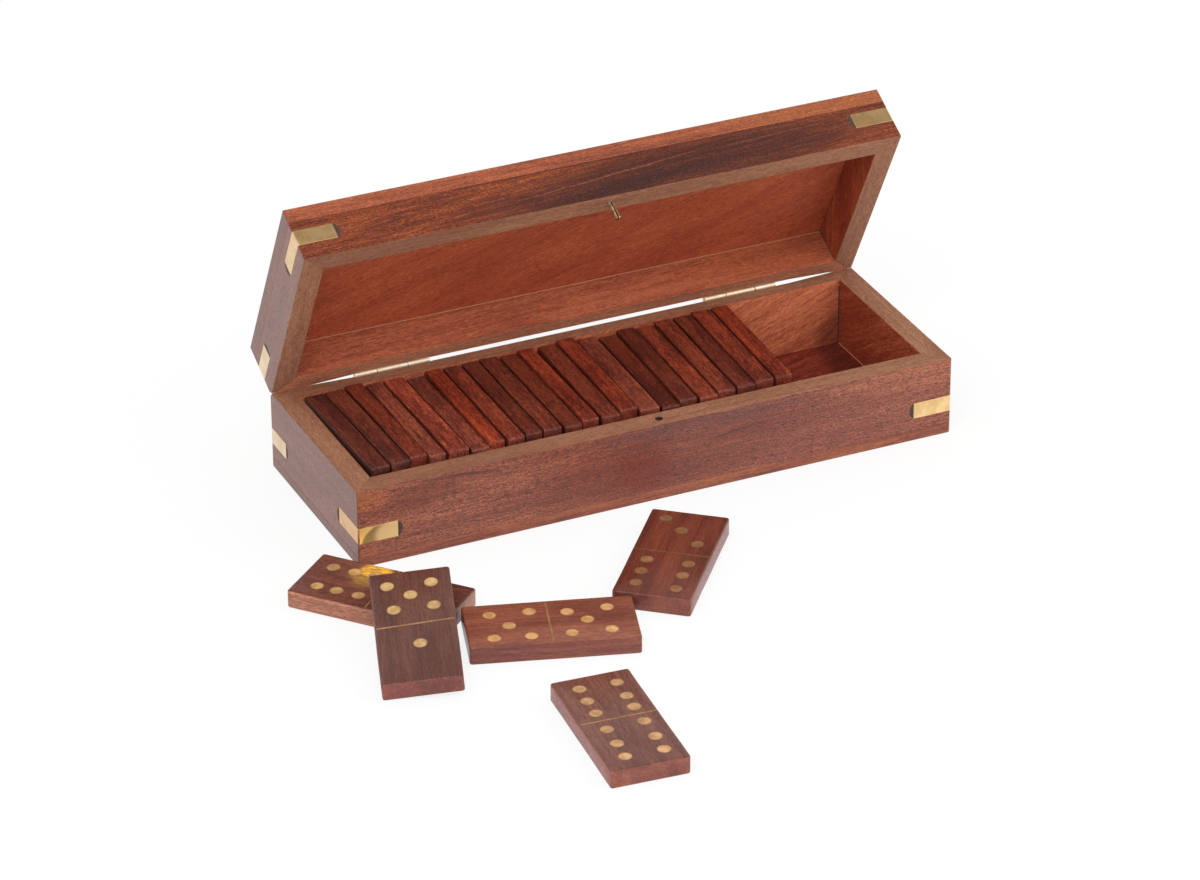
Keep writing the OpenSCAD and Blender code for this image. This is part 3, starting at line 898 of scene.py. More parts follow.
class Side(Enum):
    """The four sides of a frame, with the direction in which each faces."""

    FRONT = (0, -1)
    RIGHT = (1, 0)
    BACK = (0, 1)
    LEFT = (-1, 0)

    @property
    def word(self) -> str:
        """The side's name as the nodes spell it."""
        return self.name.lower()

    @property
    def across(self) -> bool:
        """Whether the side is one of the two short ends."""
        return self.value[0] != 0

    def of(self, vectors: np.ndarray) -> np.ndarray:
        """How far vectors in the shut box's axes point out of the side."""
        return vectors[:, :2] @ np.array(self.value, float)


class Wooden:
    """What a board and a panel share: softened edges and a finish for each face."""

    half: Half
    node: str
    tone: Tone
    shift: Triple
    edge: float

    def dress(
        self,
        mesh: bpy.types.Mesh,
        slots: np.ndarray,
        finishes: Sequence[bpy.types.Material],
        order: tuple[int, int, int] = (0, 1, 2),
    ) -> bpy.types.Object:
        """Sorts the faces, lays the grain and puts the wood into the scene.

        Args:
            mesh: A clean copy of the node's mesh.
            slots: Each face's place in the finishes.
            finishes: The materials.
            order: Which axes of the half run along the grain, across it and out of it.

        Returns:
            The piece.
        """
        mesh.polygons.foreach_set("material_index", slots.astype(np.int32))
        Grain(self.half.place(), order, self.shift).write(mesh, np.array(self.tone))
        body = self.half.value
        piece = piece_of(f"{self.node}_wood", mesh, finishes, body, [self.node])
        soft_edges(piece, self.edge)
        return piece


@dataclass(frozen=True)
class Board(Wooden):
    """One board of a frame.

    Attributes:
        half: The half it belongs to.
        side: The side of the frame that it makes.
        outer: The finish of its outer face.
        inner: The finish of its inner face.
        rim: The finish of its rim.
        tone: Colour factors.
        shift: Where in the tree it was cut, in millimetres.
        edge: Width of its softened edges in millimetres.
        bored: How close to the catch, in millimetres, a face lies in the catch's hole.
    """

    half: Half
    side: Side
    outer: Finish
    inner: Finish
    rim: Finish = Finish.RIM
    tone: Tone = EVEN
    shift: Triple = NO_SHIFT
    edge: float = 0.16
    bored: float = 1.4

    @property
    def node(self) -> str:
        """The board's node."""
        return f"{self.half.value}_{self.side.word}_board"

    def bore(self, mesh: bpy.types.Mesh) -> np.ndarray:
        """Which faces lie in the hole that the catch drops into."""
        centres = np.empty(3 * len(mesh.polygons))
        mesh.polygons.foreach_get("center", centres)
        pin = Half.LID.place().into(vertices(frame["nodes"]["catch_pin"].data)) / MM
        at = self.half.place().into(centres.reshape(-1, 3)) / MM
        centre = (pin.min(axis=0) + pin.max(axis=0)) / 2
        return np.hypot(*(at - centre)[:, :2].T) < self.bored

    def build(self, finishes: Finishes) -> bpy.types.Object:
        """Copies the board. Its outer face, inner face, rim and bore have finishes of their own."""
        mesh = copy_of(self.node)
        normals = self.half.place().turn(face_normals(mesh))
        upward, outward = normals[:, 2] * self.half.rim(), self.side.of(normals)
        tests = (upward > LOOKS_ALONG, self.bore(mesh), outward > LOOKS_OUT, outward < -LOOKS_OUT)
        slots = np.select(tests, [2, 3, 0, 1], 2)
        # The faces in the catch's hole take the dark wax colour as painted shade.
        kinds = (self.outer, self.inner, self.rim, Finish.WAX)
        order = (1, 2, 0) if self.side.across else (0, 2, 1)
        return self.dress(mesh, slots, finishes.several(kinds), order)


@dataclass(frozen=True)
class Panel(Wooden):
    """The bottom of the base or the top of the lid.

    Attributes:
        half: The half it belongs to.
        node: Its node.
        outer: The finish of its outer face and its long edges.
        inner: The finish of its inner face.
        tone: Colour factors.
        shift: Where in the tree it was cut, in millimetres.
        edge: Width of its softened edges in millimetres.
    """

    half: Half
    node: str
    outer: Finish
    inner: Finish
    tone: Tone = EVEN
    shift: Triple = NO_SHIFT
    edge: float = 0.16

    def build(self, finishes: Finishes) -> bpy.types.Object:
        """Copies the panel. Its inner face and its two ends have finishes of their own."""
        mesh = copy_of(self.node)
        normals = self.half.place().turn(face_normals(mesh))
        inward, ends = normals[:, 2] * self.half.rim(), np.abs(normals[:, 0])
        slots = np.select([inward > LOOKS_ALONG, ends > LOOKS_ALONG], [1, 2], 0)
        return self.dress(mesh, slots, finishes.several((self.outer, self.inner, Finish.PANEL_END)))


# Edges of the brass stay sharp past this many degrees.
BRASS_SHARP = 25


@dataclass(frozen=True)
class Fitting:
    """A brass piece: a softened copy of one CAD node.

    Attributes:
        node: Its node.
        body: The body that it moves with.
        finish: Its finish.
        edge: Width of its softened edges in millimetres.
        side_finish: The finish of its faces that look left or right, where they differ: a
        paler copy that paints the light on those faces.
        tone: Colour factors.
    """

    node: str
    body: str
    finish: Finish
    edge: float = 0.1
    side_finish: Finish | None = None
    tone: Tone = EVEN

    def build(self, finishes: Finishes) -> bpy.types.Object:
        """Copies the piece. Faces that look left or right may have a finish of their own."""
        mesh = copy_of(self.node, BRASS_SHARP)
        sideways = np.abs(face_normals(mesh)[:, 0]) > LOOKS_ALONG
        mesh.polygons.foreach_set("material_index", sideways.astype(np.int32))
        write_vectors(mesh, "tone", np.tile(self.tone, (len(mesh.vertices), 1)))
        made = finishes.several((self.finish, self.side_finish or self.finish))
        piece = piece_of(f"{self.node}_brass", mesh, made, self.body, [self.node])
        soft_edges(piece, self.edge)
        return piece


# ---- wax and glue --------------------------------------------------------------------


# Points on the round outline of a wax plug.
PLUG_POINTS = 15


@dataclass(frozen=True)
class Plug:
    """The wax that closes the round end of a strap's slot, on one face of a corner.

    Attributes:
        half: The half of the box.
        side: The face that the slot is cut in.
        toward: -1 where the corner is at the face's low end, 1 at its high end.
        strap: The strap's node.
        round_end: How far the slot's round end goes past the strap, in millimetres.
        sunk: How far the wax lies below the face.
        depth: How thick it is.
        over: How far it goes over the slot's long edges.
        clear: How far it stays from the slot's round end.
        gap: Its distance from the strap.
    """

    half: Half
    side: Side
    toward: int
    strap: str
    round_end: float = 1.5
    sunk: float = 0.04
    depth: float = 0.7
    over: float = 0.04
    clear: float = 0.03
    gap: float = 0.02

    def patch(self) -> Patch:
        """A plate shaped like a D: a straight edge on the strap, and an arc over it.

        The arc's points lie on a circle of radius (h * h + e * e) / 2e, for a half width h
        of the slot and the length e of its round end.
        """
        own = self.half.place()
        points = own.into(vertices(frame["nodes"][self.strap].data)) / MM
        along, out = (1, 0) if self.side.across else (0, 1)
        sign = self.side.value[out]
        face = (points[:, out] * sign).max() * sign
        flat = points[np.abs(points[:, out] - face) < self.gap]
        half = (points[:, 2].max() - points[:, 2].min()) / 2 + self.over
        level = (points[:, 2].max() + points[:, 2].min()) / 2
        start = (flat[:, along] * -self.toward).max() * -self.toward
        end = self.round_end - self.clear
        radius = (half * half + end * end) / (2 * end)
        reach = math.asin(half / radius)
        angle = np.linspace(-reach, reach, PLUG_POINTS)
        ahead = radius * np.cos(angle) - radius * math.cos(reach)
        outline = np.zeros((PLUG_POINTS, 3))
        outline[:, along] = start - self.toward * (ahead + self.gap)
        outline[:, 2] = level + radius * np.sin(angle)
        layers = []
        for drop in (self.sunk, self.sunk + self.depth):
            layer = outline.copy()
            layer[:, out] = face - sign * drop
            layers.append(layer)
        return capped(own.out(np.array(layers) * MM))


def cavity(half: Half) -> np.ndarray:
    """The low and the high corner of a half's inside, in the shut box's axes, in millimetres."""
    own = half.place()

    def reach(part: str) -> np.ndarray:
        """The low and the high corner of one wooden part of the half."""
        points = own.into(vertices(frame["nodes"][f"{half.value}_{part}"].data)) / MM
        return np.array([points.min(axis=0), points.max(axis=0)])

    panel = reach("bottom_panel")[1, 2] if half is Half.BASE else reach("top_panel")[0, 2]
    rim = reach("front_board")[1 if half is Half.BASE else 0, 2]
    low = (reach("left_board")[1, 0], reach("front_board")[1, 1], min(panel, rim))
    high = (reach("right_board")[0, 0], reach("back_board")[0, 1], max(panel, rim))
    return np.array([low, high])


@dataclass(frozen=True)
class Bead:
    """A thin line along an inner corner of a half: used for pressed-out glue and for dark beads of
    painted shade.

    Attributes:
        half: The half of the box.
        start: Its start as shares of the cavity's length, depth and height.
        end: Its end, likewise.
        size: Its width in millimetres.
    """

    half: Half
    start: Triple
    end: Triple
    size: float

    def patch(self) -> Patch:
        """A prism whose section is the corner and five points along a hollow arc.

        The arc runs from one wall to the other, and its middle lies closest to the corner.
        """
        low, high = cavity(self.half)
        start, end = np.array(self.start), np.array(self.end)
        fixed = np.flatnonzero(start == end)
        inward = np.eye(3)[fixed] * np.where(start[fixed] > 0.5, -1, 1)[:, None]
        angle = np.linspace(0, math.pi / 2, 5)[:, None]
        hollow = (1 - np.sin(angle)) * inward[0] + (1 - np.cos(angle)) * inward[1]
        ring = np.concatenate([[np.zeros(3)], self.size * hollow])
        ends = low + np.array([start, end]) * (high - low)
        own = self.half.place()
        return capped(own.out((ends[:, None] + ring[None]) * MM))


# Points on a ring of a torn strip.
STRIP_POINTS = 8


@dataclass(frozen=True)
class Splinter:
    """A torn strip of wood on the hinge line that fills the crack near a corner.

    Attributes:
        start: Where it starts, in millimetres from the box's middle plane.
        end: Where it ends, likewise.
        radius: Half its thickness in millimetres.
        girths: How thick it is from its start to its end, as shares of that.
    """

    start: float
    end: float
    radius: float = 0.097
    girths: tuple[float, ...] = (0.9, 1, 0.95, 1, 0.9, 1, 0.95, 0.8, 0.3)

    def patch(self) -> Patch:
        """Rings about the hinge line: the line plus the strip's radius times a circle."""
        line = np.array(hinge_joint()["pos_m"], float) / MM
        radius = self.radius * np.array(self.girths)[:, None]
        angle = np.linspace(0, 2 * math.pi, STRIP_POINTS, endpoint=False)[None]
        y, z = line[1] + radius * np.cos(angle), line[2] + radius * np.sin(angle)
        along = np.linspace(self.start, self.end, len(self.girths))
        grid = np.stack([np.broadcast_to(along[:, None], y.shape), y, z], axis=-1)
        return capped(grid * MM if self.end > self.start else grid[::-1] * MM)


# ---- dominoes ------------------------------------------------------------------------


def rounded_rectangle(
    half: np.ndarray, radius: np.ndarray, steps: int, straight: int
) -> np.ndarray:
    """Outlines with round corners: a corner's centre plus its radius times a quarter circle.

    Args:
        half: Half lengths and half widths, one row for each outline.
        radius: The corner radius of each outline.
        steps: Points round each corner.
        straight: Points between two corners.

    Returns:
        Outlines by points by 2, anticlockwise, each with the same number of points.
    """
    quarter = np.linspace(0, math.pi / 2, steps)
    signs = np.array([[1, 1], [-1, 1], [-1, -1], [1, -1]])
    centres = signs[None] * (half - radius[:, None])[:, None]
    angles = quarter[None] + np.arange(4)[:, None] * math.pi / 2
    arcs = np.stack([np.cos(angles), np.sin(angles)], axis=-1)
    corners = centres[:, :, None] + radius[:, None, None, None] * arcs[None]
    start, end = corners[:, :, -1], np.roll(corners[:, :, 0], -1, axis=1)
    share = np.linspace(0, 1, straight + 2)[1:-1][None, None, :, None]
    between = start[:, :, None] + share * (end - start)[:, :, None]
    return np.concatenate([corners, between], axis=2).reshape(len(half), -1, 2)


@dataclass(frozen=True)
class Block:
    """A domino of the frame: its axes and its sizes in millimetres.

    Attributes:
        place: Axes from its middle: along it, across it and out of its face.
        size: Length, width and thickness.
    """

    place: Place
    size: np.ndarray

    @staticmethod
    def of(node: str, ahead: Sequence[float], face: Sequence[float]) -> "Block":
        """Measures a domino from its CAD node.

        The sum of area times normal times normal over its faces has the domino's axes as
        its principal directions: the face counts most, the ends least.

        Args:
            node: The node.
            ahead: Roughly where the end with the first number points.
            face: Roughly where its face looks.

        Returns:
            The block.
        """
        mesh = frame["nodes"][node].data
        normals = face_normals(mesh)
        areas = np.empty(len(mesh.polygons))
        mesh.polygons.foreach_get("area", areas)
        weight = np.einsum("i,ij,ik->jk", areas, normals, normals)
        found = np.linalg.eigh(weight)[1].T
        along = found[0] * np.sign(found[0] @ ahead)
        out = found[2] * np.sign(found[2] @ face)
        axes = np.array([along, np.cross(out, along), out])
        points = vertices(mesh) @ axes.T
        low, high = points.min(axis=0), points.max(axis=0)
        return Block(Place((low + high) / 2 @ axes, axes), (high - low) / MM)


@dataclass(frozen=True)
class Look:
    """How one domino differs from the others.

    Attributes:
        face: Colour factors of its face: its own colour, and also painted light on a loose
            domino, the pale haze that it mirrors, and painted shade on a domino of the row, whose
            broad faces lie in the dark gaps.
        side: Colour factors of its narrow sides: their own colour, and on a loose domino also
            painted light, lighter where the light catches them.
        back: Colour factors of its back, where it differs from the sides: painted shade in the
            row's dark gaps.
        end: Colour factors of its two ends, where they differ from the sides: their own colour
            and painted light, lighter where the light catches them.
        pip: Colour factors of its pips.
        bar: Colour factors of its bar.
        bar_at: Where its bar crosses the middle line, in millimetres.
        bar_turn: How far its bar is turned, in degrees.
        drift: How far each pip is off its mark, along and across, in millimetres.
        wood: The finish of its face.
    """

    face: Tone = EVEN
    side: Tone = EVEN
    back: Tone | None = None
    end: Tone | None = None
    pip: Tone = EVEN
    bar: Tone = EVEN
    bar_at: float = 0.0
    bar_turn: float = 0.0
    drift: tuple[Pair, ...] = ()
    wood: Finish = Finish.TILE


# Places of a number's pips as steps along and across: a number takes the first ones, by
# pairs, and an odd number has one more in its middle.
CORNERS = ((1, 1), (-1, -1), (1, -1), (-1, 1), (0, 1), (0, -1))

# A pip from its top down: each ring's share of its radius, and its height over the brass's
# level in millimetres.
PIP_SHARES = (0.0, 0.45, 0.8, 0.96, 1.0, 1.0)
PIP_HEIGHTS = (0.03, 0.028, 0.022, 0.01, -0.01, -0.6)
PIP_POINTS = 28

# Points round a corner of a domino and along its sides, and the angle in degrees past which
# its edges stay sharp.
CORNER_POINTS = 5
SIDE_POINTS = 9
DOMINO_SHARP = 60

# The slow waves of its wear, in radians per millimetre.
WEAR_WAVES = (0.11, 0.29, 0.21, 0.17)

# How far apart in the tree two dominoes may be cut, in millimetres to either side.
TREE_REACH = 400


class Draw(Enum):
    """What is drawn by chance for a domino, with what each adds to the domino's seed."""

    WEAR = 0
    PLACES = 3
    TONES = 5
    CUT = 7
    SIZES = 100


@dataclass(frozen=True)
class Domino:
    """A domino: worn wood with brass pips and a brass bar, drawn about its own middle.

    All sizes are in millimetres.

    Attributes:
        node: Its node.
        block: Its axes and sizes.
        look: How it differs from the others.
        seed: The seed of its small differences.
        edge: The rounding between its faces and its sides.
        corner: The radius of its four upright corners.
        pip: The radius of a pip.
        bar: Half the width of the bar.
        field: How far the middle of a number lies from the domino's middle.
        step: How far pips lie from the middle of their number, along and across.
        proud: How far the brass stands out of the face.
        wear: How far the sides are worn in.
        offset: How far pips stray from their places.
    """

    node: str
    block: Block
    look: Look
    seed: int
    edge: float = 0.6
    corner: float = 0.8
    pip: float = 2.12
    bar: float = 0.27
    field: float = 12.0
    step: Pair = (7.1, 6.3)
    proud: float = 0.02
    wear: float = 0.1
    offset: float = 0.08

    def chance(self, draw: Draw) -> np.random.Generator:
        """The domino's own generator for one kind of difference."""
        return np.random.default_rng(self.seed + draw.value)

    def wood(self) -> bpy.types.Mesh:
        """The block: rings with round corners, drawn in along a quarter circle at both faces."""
        length, width, thick = self.block.size
        quarter = np.linspace(0, math.pi / 2, CORNER_POINTS)
        inset = self.edge * (1 - np.cos(quarter))
        rise = self.edge * np.sin(quarter)
        insets = np.concatenate([inset[::-1], inset])
        shoulder = thick / 2 - self.edge
        heights = np.concatenate([-shoulder - rise[::-1], shoulder + rise])
        half = np.array([length / 2, width / 2]) - insets[:, None]
        radius = np.maximum(self.corner - insets * 0.6, 0.2)
        rings = rounded_rectangle(half, radius, CORNER_POINTS, SIDE_POINTS)
        heights = np.broadcast_to(heights[:, None, None], rings.shape[:2] + (1,))
        grid = np.concatenate([rings, heights], axis=2)
        return mesh_of([capped(self.worn(grid) * MM)], DOMINO_SHARP)

    def worn(self, points: np.ndarray) -> np.ndarray:
        """Points drawn in a little: the length and the width shrink by sums of two sines."""
        phase = self.chance(Draw.WEAR).uniform(0, 2 * math.pi, 6)
        x, y = points[..., 0], points[..., 1]
        first, second, third, fourth = WEAR_WAVES
        along = np.sin(x * first + phase[0]) + np.sin(x * second + phase[1])
        side = np.sin(y * third + phase[2]) + np.sin(x * fourth + phase[3])
        shrink = np.stack([
            1 - self.wear * (2 + side) / self.block.size[0] / 4,
            1 - self.wear * (2 + along) / self.block.size[1] / 2,
            np.ones_like(x),
        ], axis=-1)
        return points * shrink

    def spots(self) -> np.ndarray:
        """The middles of the pips on the face, in millimetres."""
        found = []
        for end, count in zip((1, -1), (int(word) for word in self.node.split("_")[1:])):
            marks = CORNERS[: count - count % 2] + ((0, 0),) * (count % 2)
            found += [(end * self.field + i * self.step[0], j * self.step[1]) for i, j in marks]
        spots = np.array(found, float).reshape(-1, 2)
        spots[: len(self.look.drift)] += np.array(self.look.drift, float).reshape(-1, 2)
        return spots + self.chance(Draw.PLACES).normal(0, self.offset, spots.shape)

    def brass(self) -> bpy.types.Mesh:
        """Pips as low domes on short walls, and the bar as a thin plate."""
        chance = self.chance(Draw.SIZES)
        top = self.block.size[2] / 2
        share, level = np.array(PIP_SHARES), np.array(PIP_HEIGHTS) + self.proud
        angle = np.linspace(0, 2 * math.pi, PIP_POINTS, endpoint=False)
        ring = np.stack([np.cos(angle), np.sin(angle)], axis=-1)
        patches = []
        for spot in self.spots():
            flat = spot + self.pip * chance.uniform(0.96, 1.01) * share[:, None, None] * ring[None]
            height = np.broadcast_to((top + level)[:, None, None], flat.shape[:2] + (1,))
            patches.append(capped(np.concatenate([flat, height], axis=2)[::-1] * MM))
        half = np.array([[self.bar, self.block.size[1] / 2 - self.edge]] * 2)
        bar = rounded_rectangle(half, np.array([0.1, 0.1]), 3, 5)
        bar[..., 0] += self.look.bar_at + bar[..., 1] * math.tan(math.radians(self.look.bar_turn))
        level = np.array([top - 0.5, top + self.proud])[:, None, None]
        grid = np.concatenate([bar, np.broadcast_to(level, bar.shape[:2] + (1,))], axis=2)
        patches.append(capped(grid * MM))
        return mesh_of(patches)

    def wood_tone(self, points: np.ndarray) -> np.ndarray:
        """The face's and the back's tone near them, and the sides' tone between."""
        line = self.block.size[2] / 2 - 0.6 * self.edge
        ends = np.abs(points[:, :1]) > self.block.size[0] / 2 - self.corner
        side = np.where(ends, self.look.end or self.look.side, self.look.side)
        under = np.where(points[:, 2:] < -line, self.look.back or side, side)
        return np.where(points[:, 2:] > line, self.look.face, under)

    def brass_tone(self, points: np.ndarray) -> np.ndarray:
        """The bar's tone, and the pips' tone, which is darker at their rims."""
        spots = self.spots()
        if not len(spots):
            return np.broadcast_to(self.look.bar, points.shape)
        far = np.linalg.norm(points[:, None, :2] - spots[None], axis=2)
        nearest = far.argmin(axis=1)
        far = far.min(axis=1)
        own = 1 + self.chance(Draw.TONES).uniform(-0.12, 0.08, len(spots))
        rim = np.where(far > 0.9 * self.pip, 0.55, 1.0)
        pips = (own[nearest] * rim)[:, None] * np.array(self.look.pip)
        return np.where((far > 1.05 * self.pip)[:, None], self.look.bar, pips)

    def build(self, finishes: Finishes) -> bpy.types.Object:
        """Makes the wood and its brass, and lays them in place.

        Args:
            finishes: The shared materials.

        Returns:
            The wooden piece.
        """
        wood, brass = self.wood(), self.brass()
        tones = self.wood_tone(vertices(wood) / MM), self.brass_tone(vertices(brass) / MM)
        for mesh in (wood, brass):
            spread = self.block.place.out(vertices(mesh))
            mesh.vertices.foreach_set("co", spread.astype(np.float32).ravel())
            mesh.update()
        shift = self.chance(Draw.CUT).uniform(-TREE_REACH, TREE_REACH, 3)
        Grain(self.block.place, shift=tuple(shift.tolist())).write(wood, tones[0])
        write_vectors(brass, "tone", tones[1])
        inlay = f"{self.node}_inlay"
        stands_for = [inlay] if inlay in frame["nodes"] else []
        polish, metal = finishes.several((self.look.wood,)), finishes.several((Finish.PIP,))
        block = piece_of(f"{self.node}_wood", wood, polish, self.node, [self.node])
        piece_of(f"{self.node}_brass", brass, metal, self.node, stands_for)
        return block


@dataclass(frozen=True)
class Lying:
    """A loose domino.

    Attributes:
        node: Its node.
        turn: Where its first end roughly points, in degrees from X.
        look: How it differs from the others.
    """

    node: str
    turn: float
    look: Look

    def block(self) -> Block:
        """Its axes and sizes. Its face looks up."""
        turn = math.radians(self.turn)
        return Block.of(self.node, (math.cos(turn), math.sin(turn), 0), (0, 0, 1))


# The face, side and end factors below are partly each domino's own colour and partly painted light:
# the pale haze mirrored on its face, and sides and ends lighter where the light catches them.
LOOSE = (
    Lying("domino_6_1", 131, Look(
        face=(0.99, 1.15, 1.2), side=(2.7, 4.5, 4.2), pip=(1.3, 1.35, 1.35),
        bar=(0.75, 0.75, 0.8), bar_at=-0.2, wood=Finish.GILT,
        drift=((-0.9, -0.2), (0, 0), (-0.3, 0.6), (-0.4, -0.4), (-0.4, -0.2), (-0.4, 0.6)),
    )),
    Lying("domino_5_1", 71, Look(
        face=(0.84, 1.2, 1.35), side=(1.5, 1.56, 1.8), pip=(1.4, 1.55, 1.7),
        bar=(0.9, 0.9, 0.95), bar_at=0.6, bar_turn=-2.1, wood=Finish.WORN,
        drift=((0, 0.6), (3.1, 0.1), (-0.3, 0.1), (3.1, -0.6), (1.9, 0.4), (3.4, -0.6)),
    )),
    Lying("domino_5_5", -17, Look(
        face=(1.75, 2.2, 2.1), side=(1.3, 1.4, 1.5), pip=(1.58, 1.52, 1.55),
        bar=(0.75, 0.72, 0.75), bar_at=-0.5, wood=Finish.WORN,
        drift=(
            (-1.9, -0.1), (0.4, -1.1), (-1.9, -0.3), (0.3, -1.4), (-1.4, -0.4),
            (-0.9, -0.1), (1.5, -1.1), (-1.7, -1.0), (1.4, -0.6), (-0.4, -0.9),
        ),
    )),
    Lying("domino_6_3", 231, Look(
        face=(1.13, 1.05, 0.9), side=(1.45, 1.0, 0.85), end=(1.44, 1.47, 1.5),
        pip=(0.77, 0.66, 0.72), bar=(0.5, 0.45, 0.45), bar_at=-0.5, wood=Finish.WORN,
        drift=((0.7, -0.2),) + ((0.0, 0.0),) * 5 + ((-2.3, 0.1), (-0.9, -0.4), (-1.9, -0.2)),
    )),
    Lying("domino_6_6", 85, Look(
        face=(1.18, 1.7, 1.85), side=(1.7, 1.25, 1.15), end=(1.77, 2.18, 2.36),
        pip=(1.2, 1.2, 1.4), bar=(0.8, 0.75, 0.8), bar_at=0.8, wood=Finish.WORN,
        drift=(
            (0, -1.1), (-0.2, 0), (-0.2, 0.1), (0.4, -1.0), (0.1, -1.0), (-0.8, 0.1),
            (0.9, -1.0), (-0.1, 0.1), (1.4, 0.1), (-0.1, -0.9), (0.1, -1.0), (0.1, 0.1),
        ),
    )),
    Lying("domino_4_2", 7, Look(wood=Finish.WORN)),
)

# How each domino of the row differs from the finish, from the left: how much lighter, and
# how much paler in green. Blue changes PALE_BLUE times as much as green.
PALE_BLUE = 1.8
ROW_TONES: tuple[Pair, ...] = (
    (-0.32, 0.12), (-0.2, 0.12), (0.06, -0.11), (0.21, 0.21), (0.83, 0.02), (0.34, 0.2),
    (0.64, -0.24), (0.19, -0.06), (-0.27, -0.04), (-0.09, 0.04), (-0.28, -0.07), (0.37, -0.2),
    (-0.13, -0.04), (0.2, -0.22), (0.08, 0.14), (-0.15, -0.12), (-0.29, -0.05), (0.21, -0.09),
    (0.08, -0.04), (-0.18, -0.03), (0.22, -0.09), (0.36, -0.25),
)


@dataclass
class Dominoes:
    """All the dominoes: the row in the box and the loose ones.

    Attributes:
        finishes: The shared materials.
        broad: The tone of a standing domino's broad faces as a share of its edges' tone:
        painted shade, since those faces lie in the row's dark gaps.
        row_edge: The rounding of a domino in the row, in millimetres.
        loose_seed: The seed of the first loose domino.
    """

    finishes: Finishes
    broad: float = 0.6
    row_edge: float = 0.35
    loose_seed: int = 50

    def row(self) -> list[str]:
        """The nodes of the row from left to right."""
        loose = {lying.node for lying in LOOSE}
        names = [n for n in frame["nodes"] if n.startswith("domino_") and not n.endswith("_inlay")]
        return sorted((n for n in names if n not in loose), key=lambda n: middle(n)[0])

    def build(self) -> None:
        """Builds every domino."""
        for index, (node, (light, pale)) in enumerate(zip(self.row(), ROW_TONES)):
            tone = (1 + light, (1 + light) * (1 + pale), (1 + light) * (1 + PALE_BLUE * pale))
            # The broad faces lie in the row's dark gaps: their tone is dimmed as painted shade.
            gap_shaded = tuple(self.broad * part for part in tone)
            look = Look(face=gap_shaded, side=tone, back=gap_shaded)
            block = Block.of(node, (0, 1, 0), (1, 0, 0))
            Domino(node, block, look, index, self.row_edge).build(self.finishes)
        for seed, lying in enumerate(LOOSE, self.loose_seed):
            Domino(lying.node, lying.block(), lying.look, seed).build(self.finishes)


# ---- the box -------------------------------------------------------------------------


BOARDS = (
    Board(Half.BASE, Side.FRONT, Finish.BASE_FRONT, Finish.INSIDE),
    Board(Half.BASE, Side.RIGHT, Finish.END, Finish.BAY_END, shift=(-170, 40, 15)),
    Board(Half.BASE, Side.BACK, Finish.PLAIN, Finish.BAY, shift=(-340, 40, 15)),
    Board(Half.BASE, Side.LEFT, Finish.END, Finish.INSIDE, shift=(-510, 40, 15)),
    Board(Half.LID, Side.FRONT, Finish.LID_FRONT, Finish.INSIDE, shift=(300, 3, 0)),
    Board(Half.LID, Side.RIGHT, Finish.END, Finish.BAY_END, shift=(130, -40, 15)),
    Board(Half.LID, Side.BACK, Finish.PLAIN, Finish.REAR, Finish.RIM_LIT, shift=(460, -60, 5)),
    Board(Half.LID, Side.LEFT, Finish.END, Finish.INSIDE, shift=(-60, -90, 15)),
)
PANELS = (
    Panel(Half.BASE, "base_bottom_panel", Finish.FOOT, Finish.BAY_FLOOR, shift=(90, 60, 0)),
    Panel(Half.LID, "lid_top_panel", Finish.TOP, Finish.CEILING, shift=(-40, 10, 0)),
)

# The finish and the tone of the straps that differ from the plain one: the same brass made lighter,
# darker, warmer or bluer on each strap as painted light.
STRAPS: dict[str, tuple[Finish, Tone]] = {
    "base_strap_front_left": (Finish.STRAP_LIT, (0.86, 0.7, 0.6)),
    "base_strap_back_left": (Finish.STRAP, (0.97, 1.02, 1.22)),
    "lid_strap_back_left": (Finish.STRAP, (1.0, 1.05, 1.27)),
    "base_strap_front_right": (Finish.STRAP, (1.15, 1.2, 1.25)),
    "lid_strap_front_left": (Finish.STRAP, (0.96, 0.92, 0.9)),
    "lid_strap_front_right": (Finish.STRAP, (0.9, 0.88, 0.87)),
}

# What was pressed out of the joints, what is torn at the rear rim, and dark beads of painted shade
# in the corners.
GLUE = (
    Bead(Half.LID, (0.002, 1, 1), (0.998, 1, 1), 0.2),
    Bead(Half.BASE, (1, 0.01, 0), (1, 0.99, 0), 0.16),
)
SPLINTERS = (Splinter(-99.9, -85), Splinter(99.9, 92))
# Dark beads in the back right inner corners: painted shade.
PAINTED_CORNER_SHADE = (
    Bead(Half.BASE, (1, 1, 0.02), (1, 1, 0.9), 0.3),
    Bead(Half.LID, (1, 1, 0.1), (1, 1, 0.98), 0.25),
)


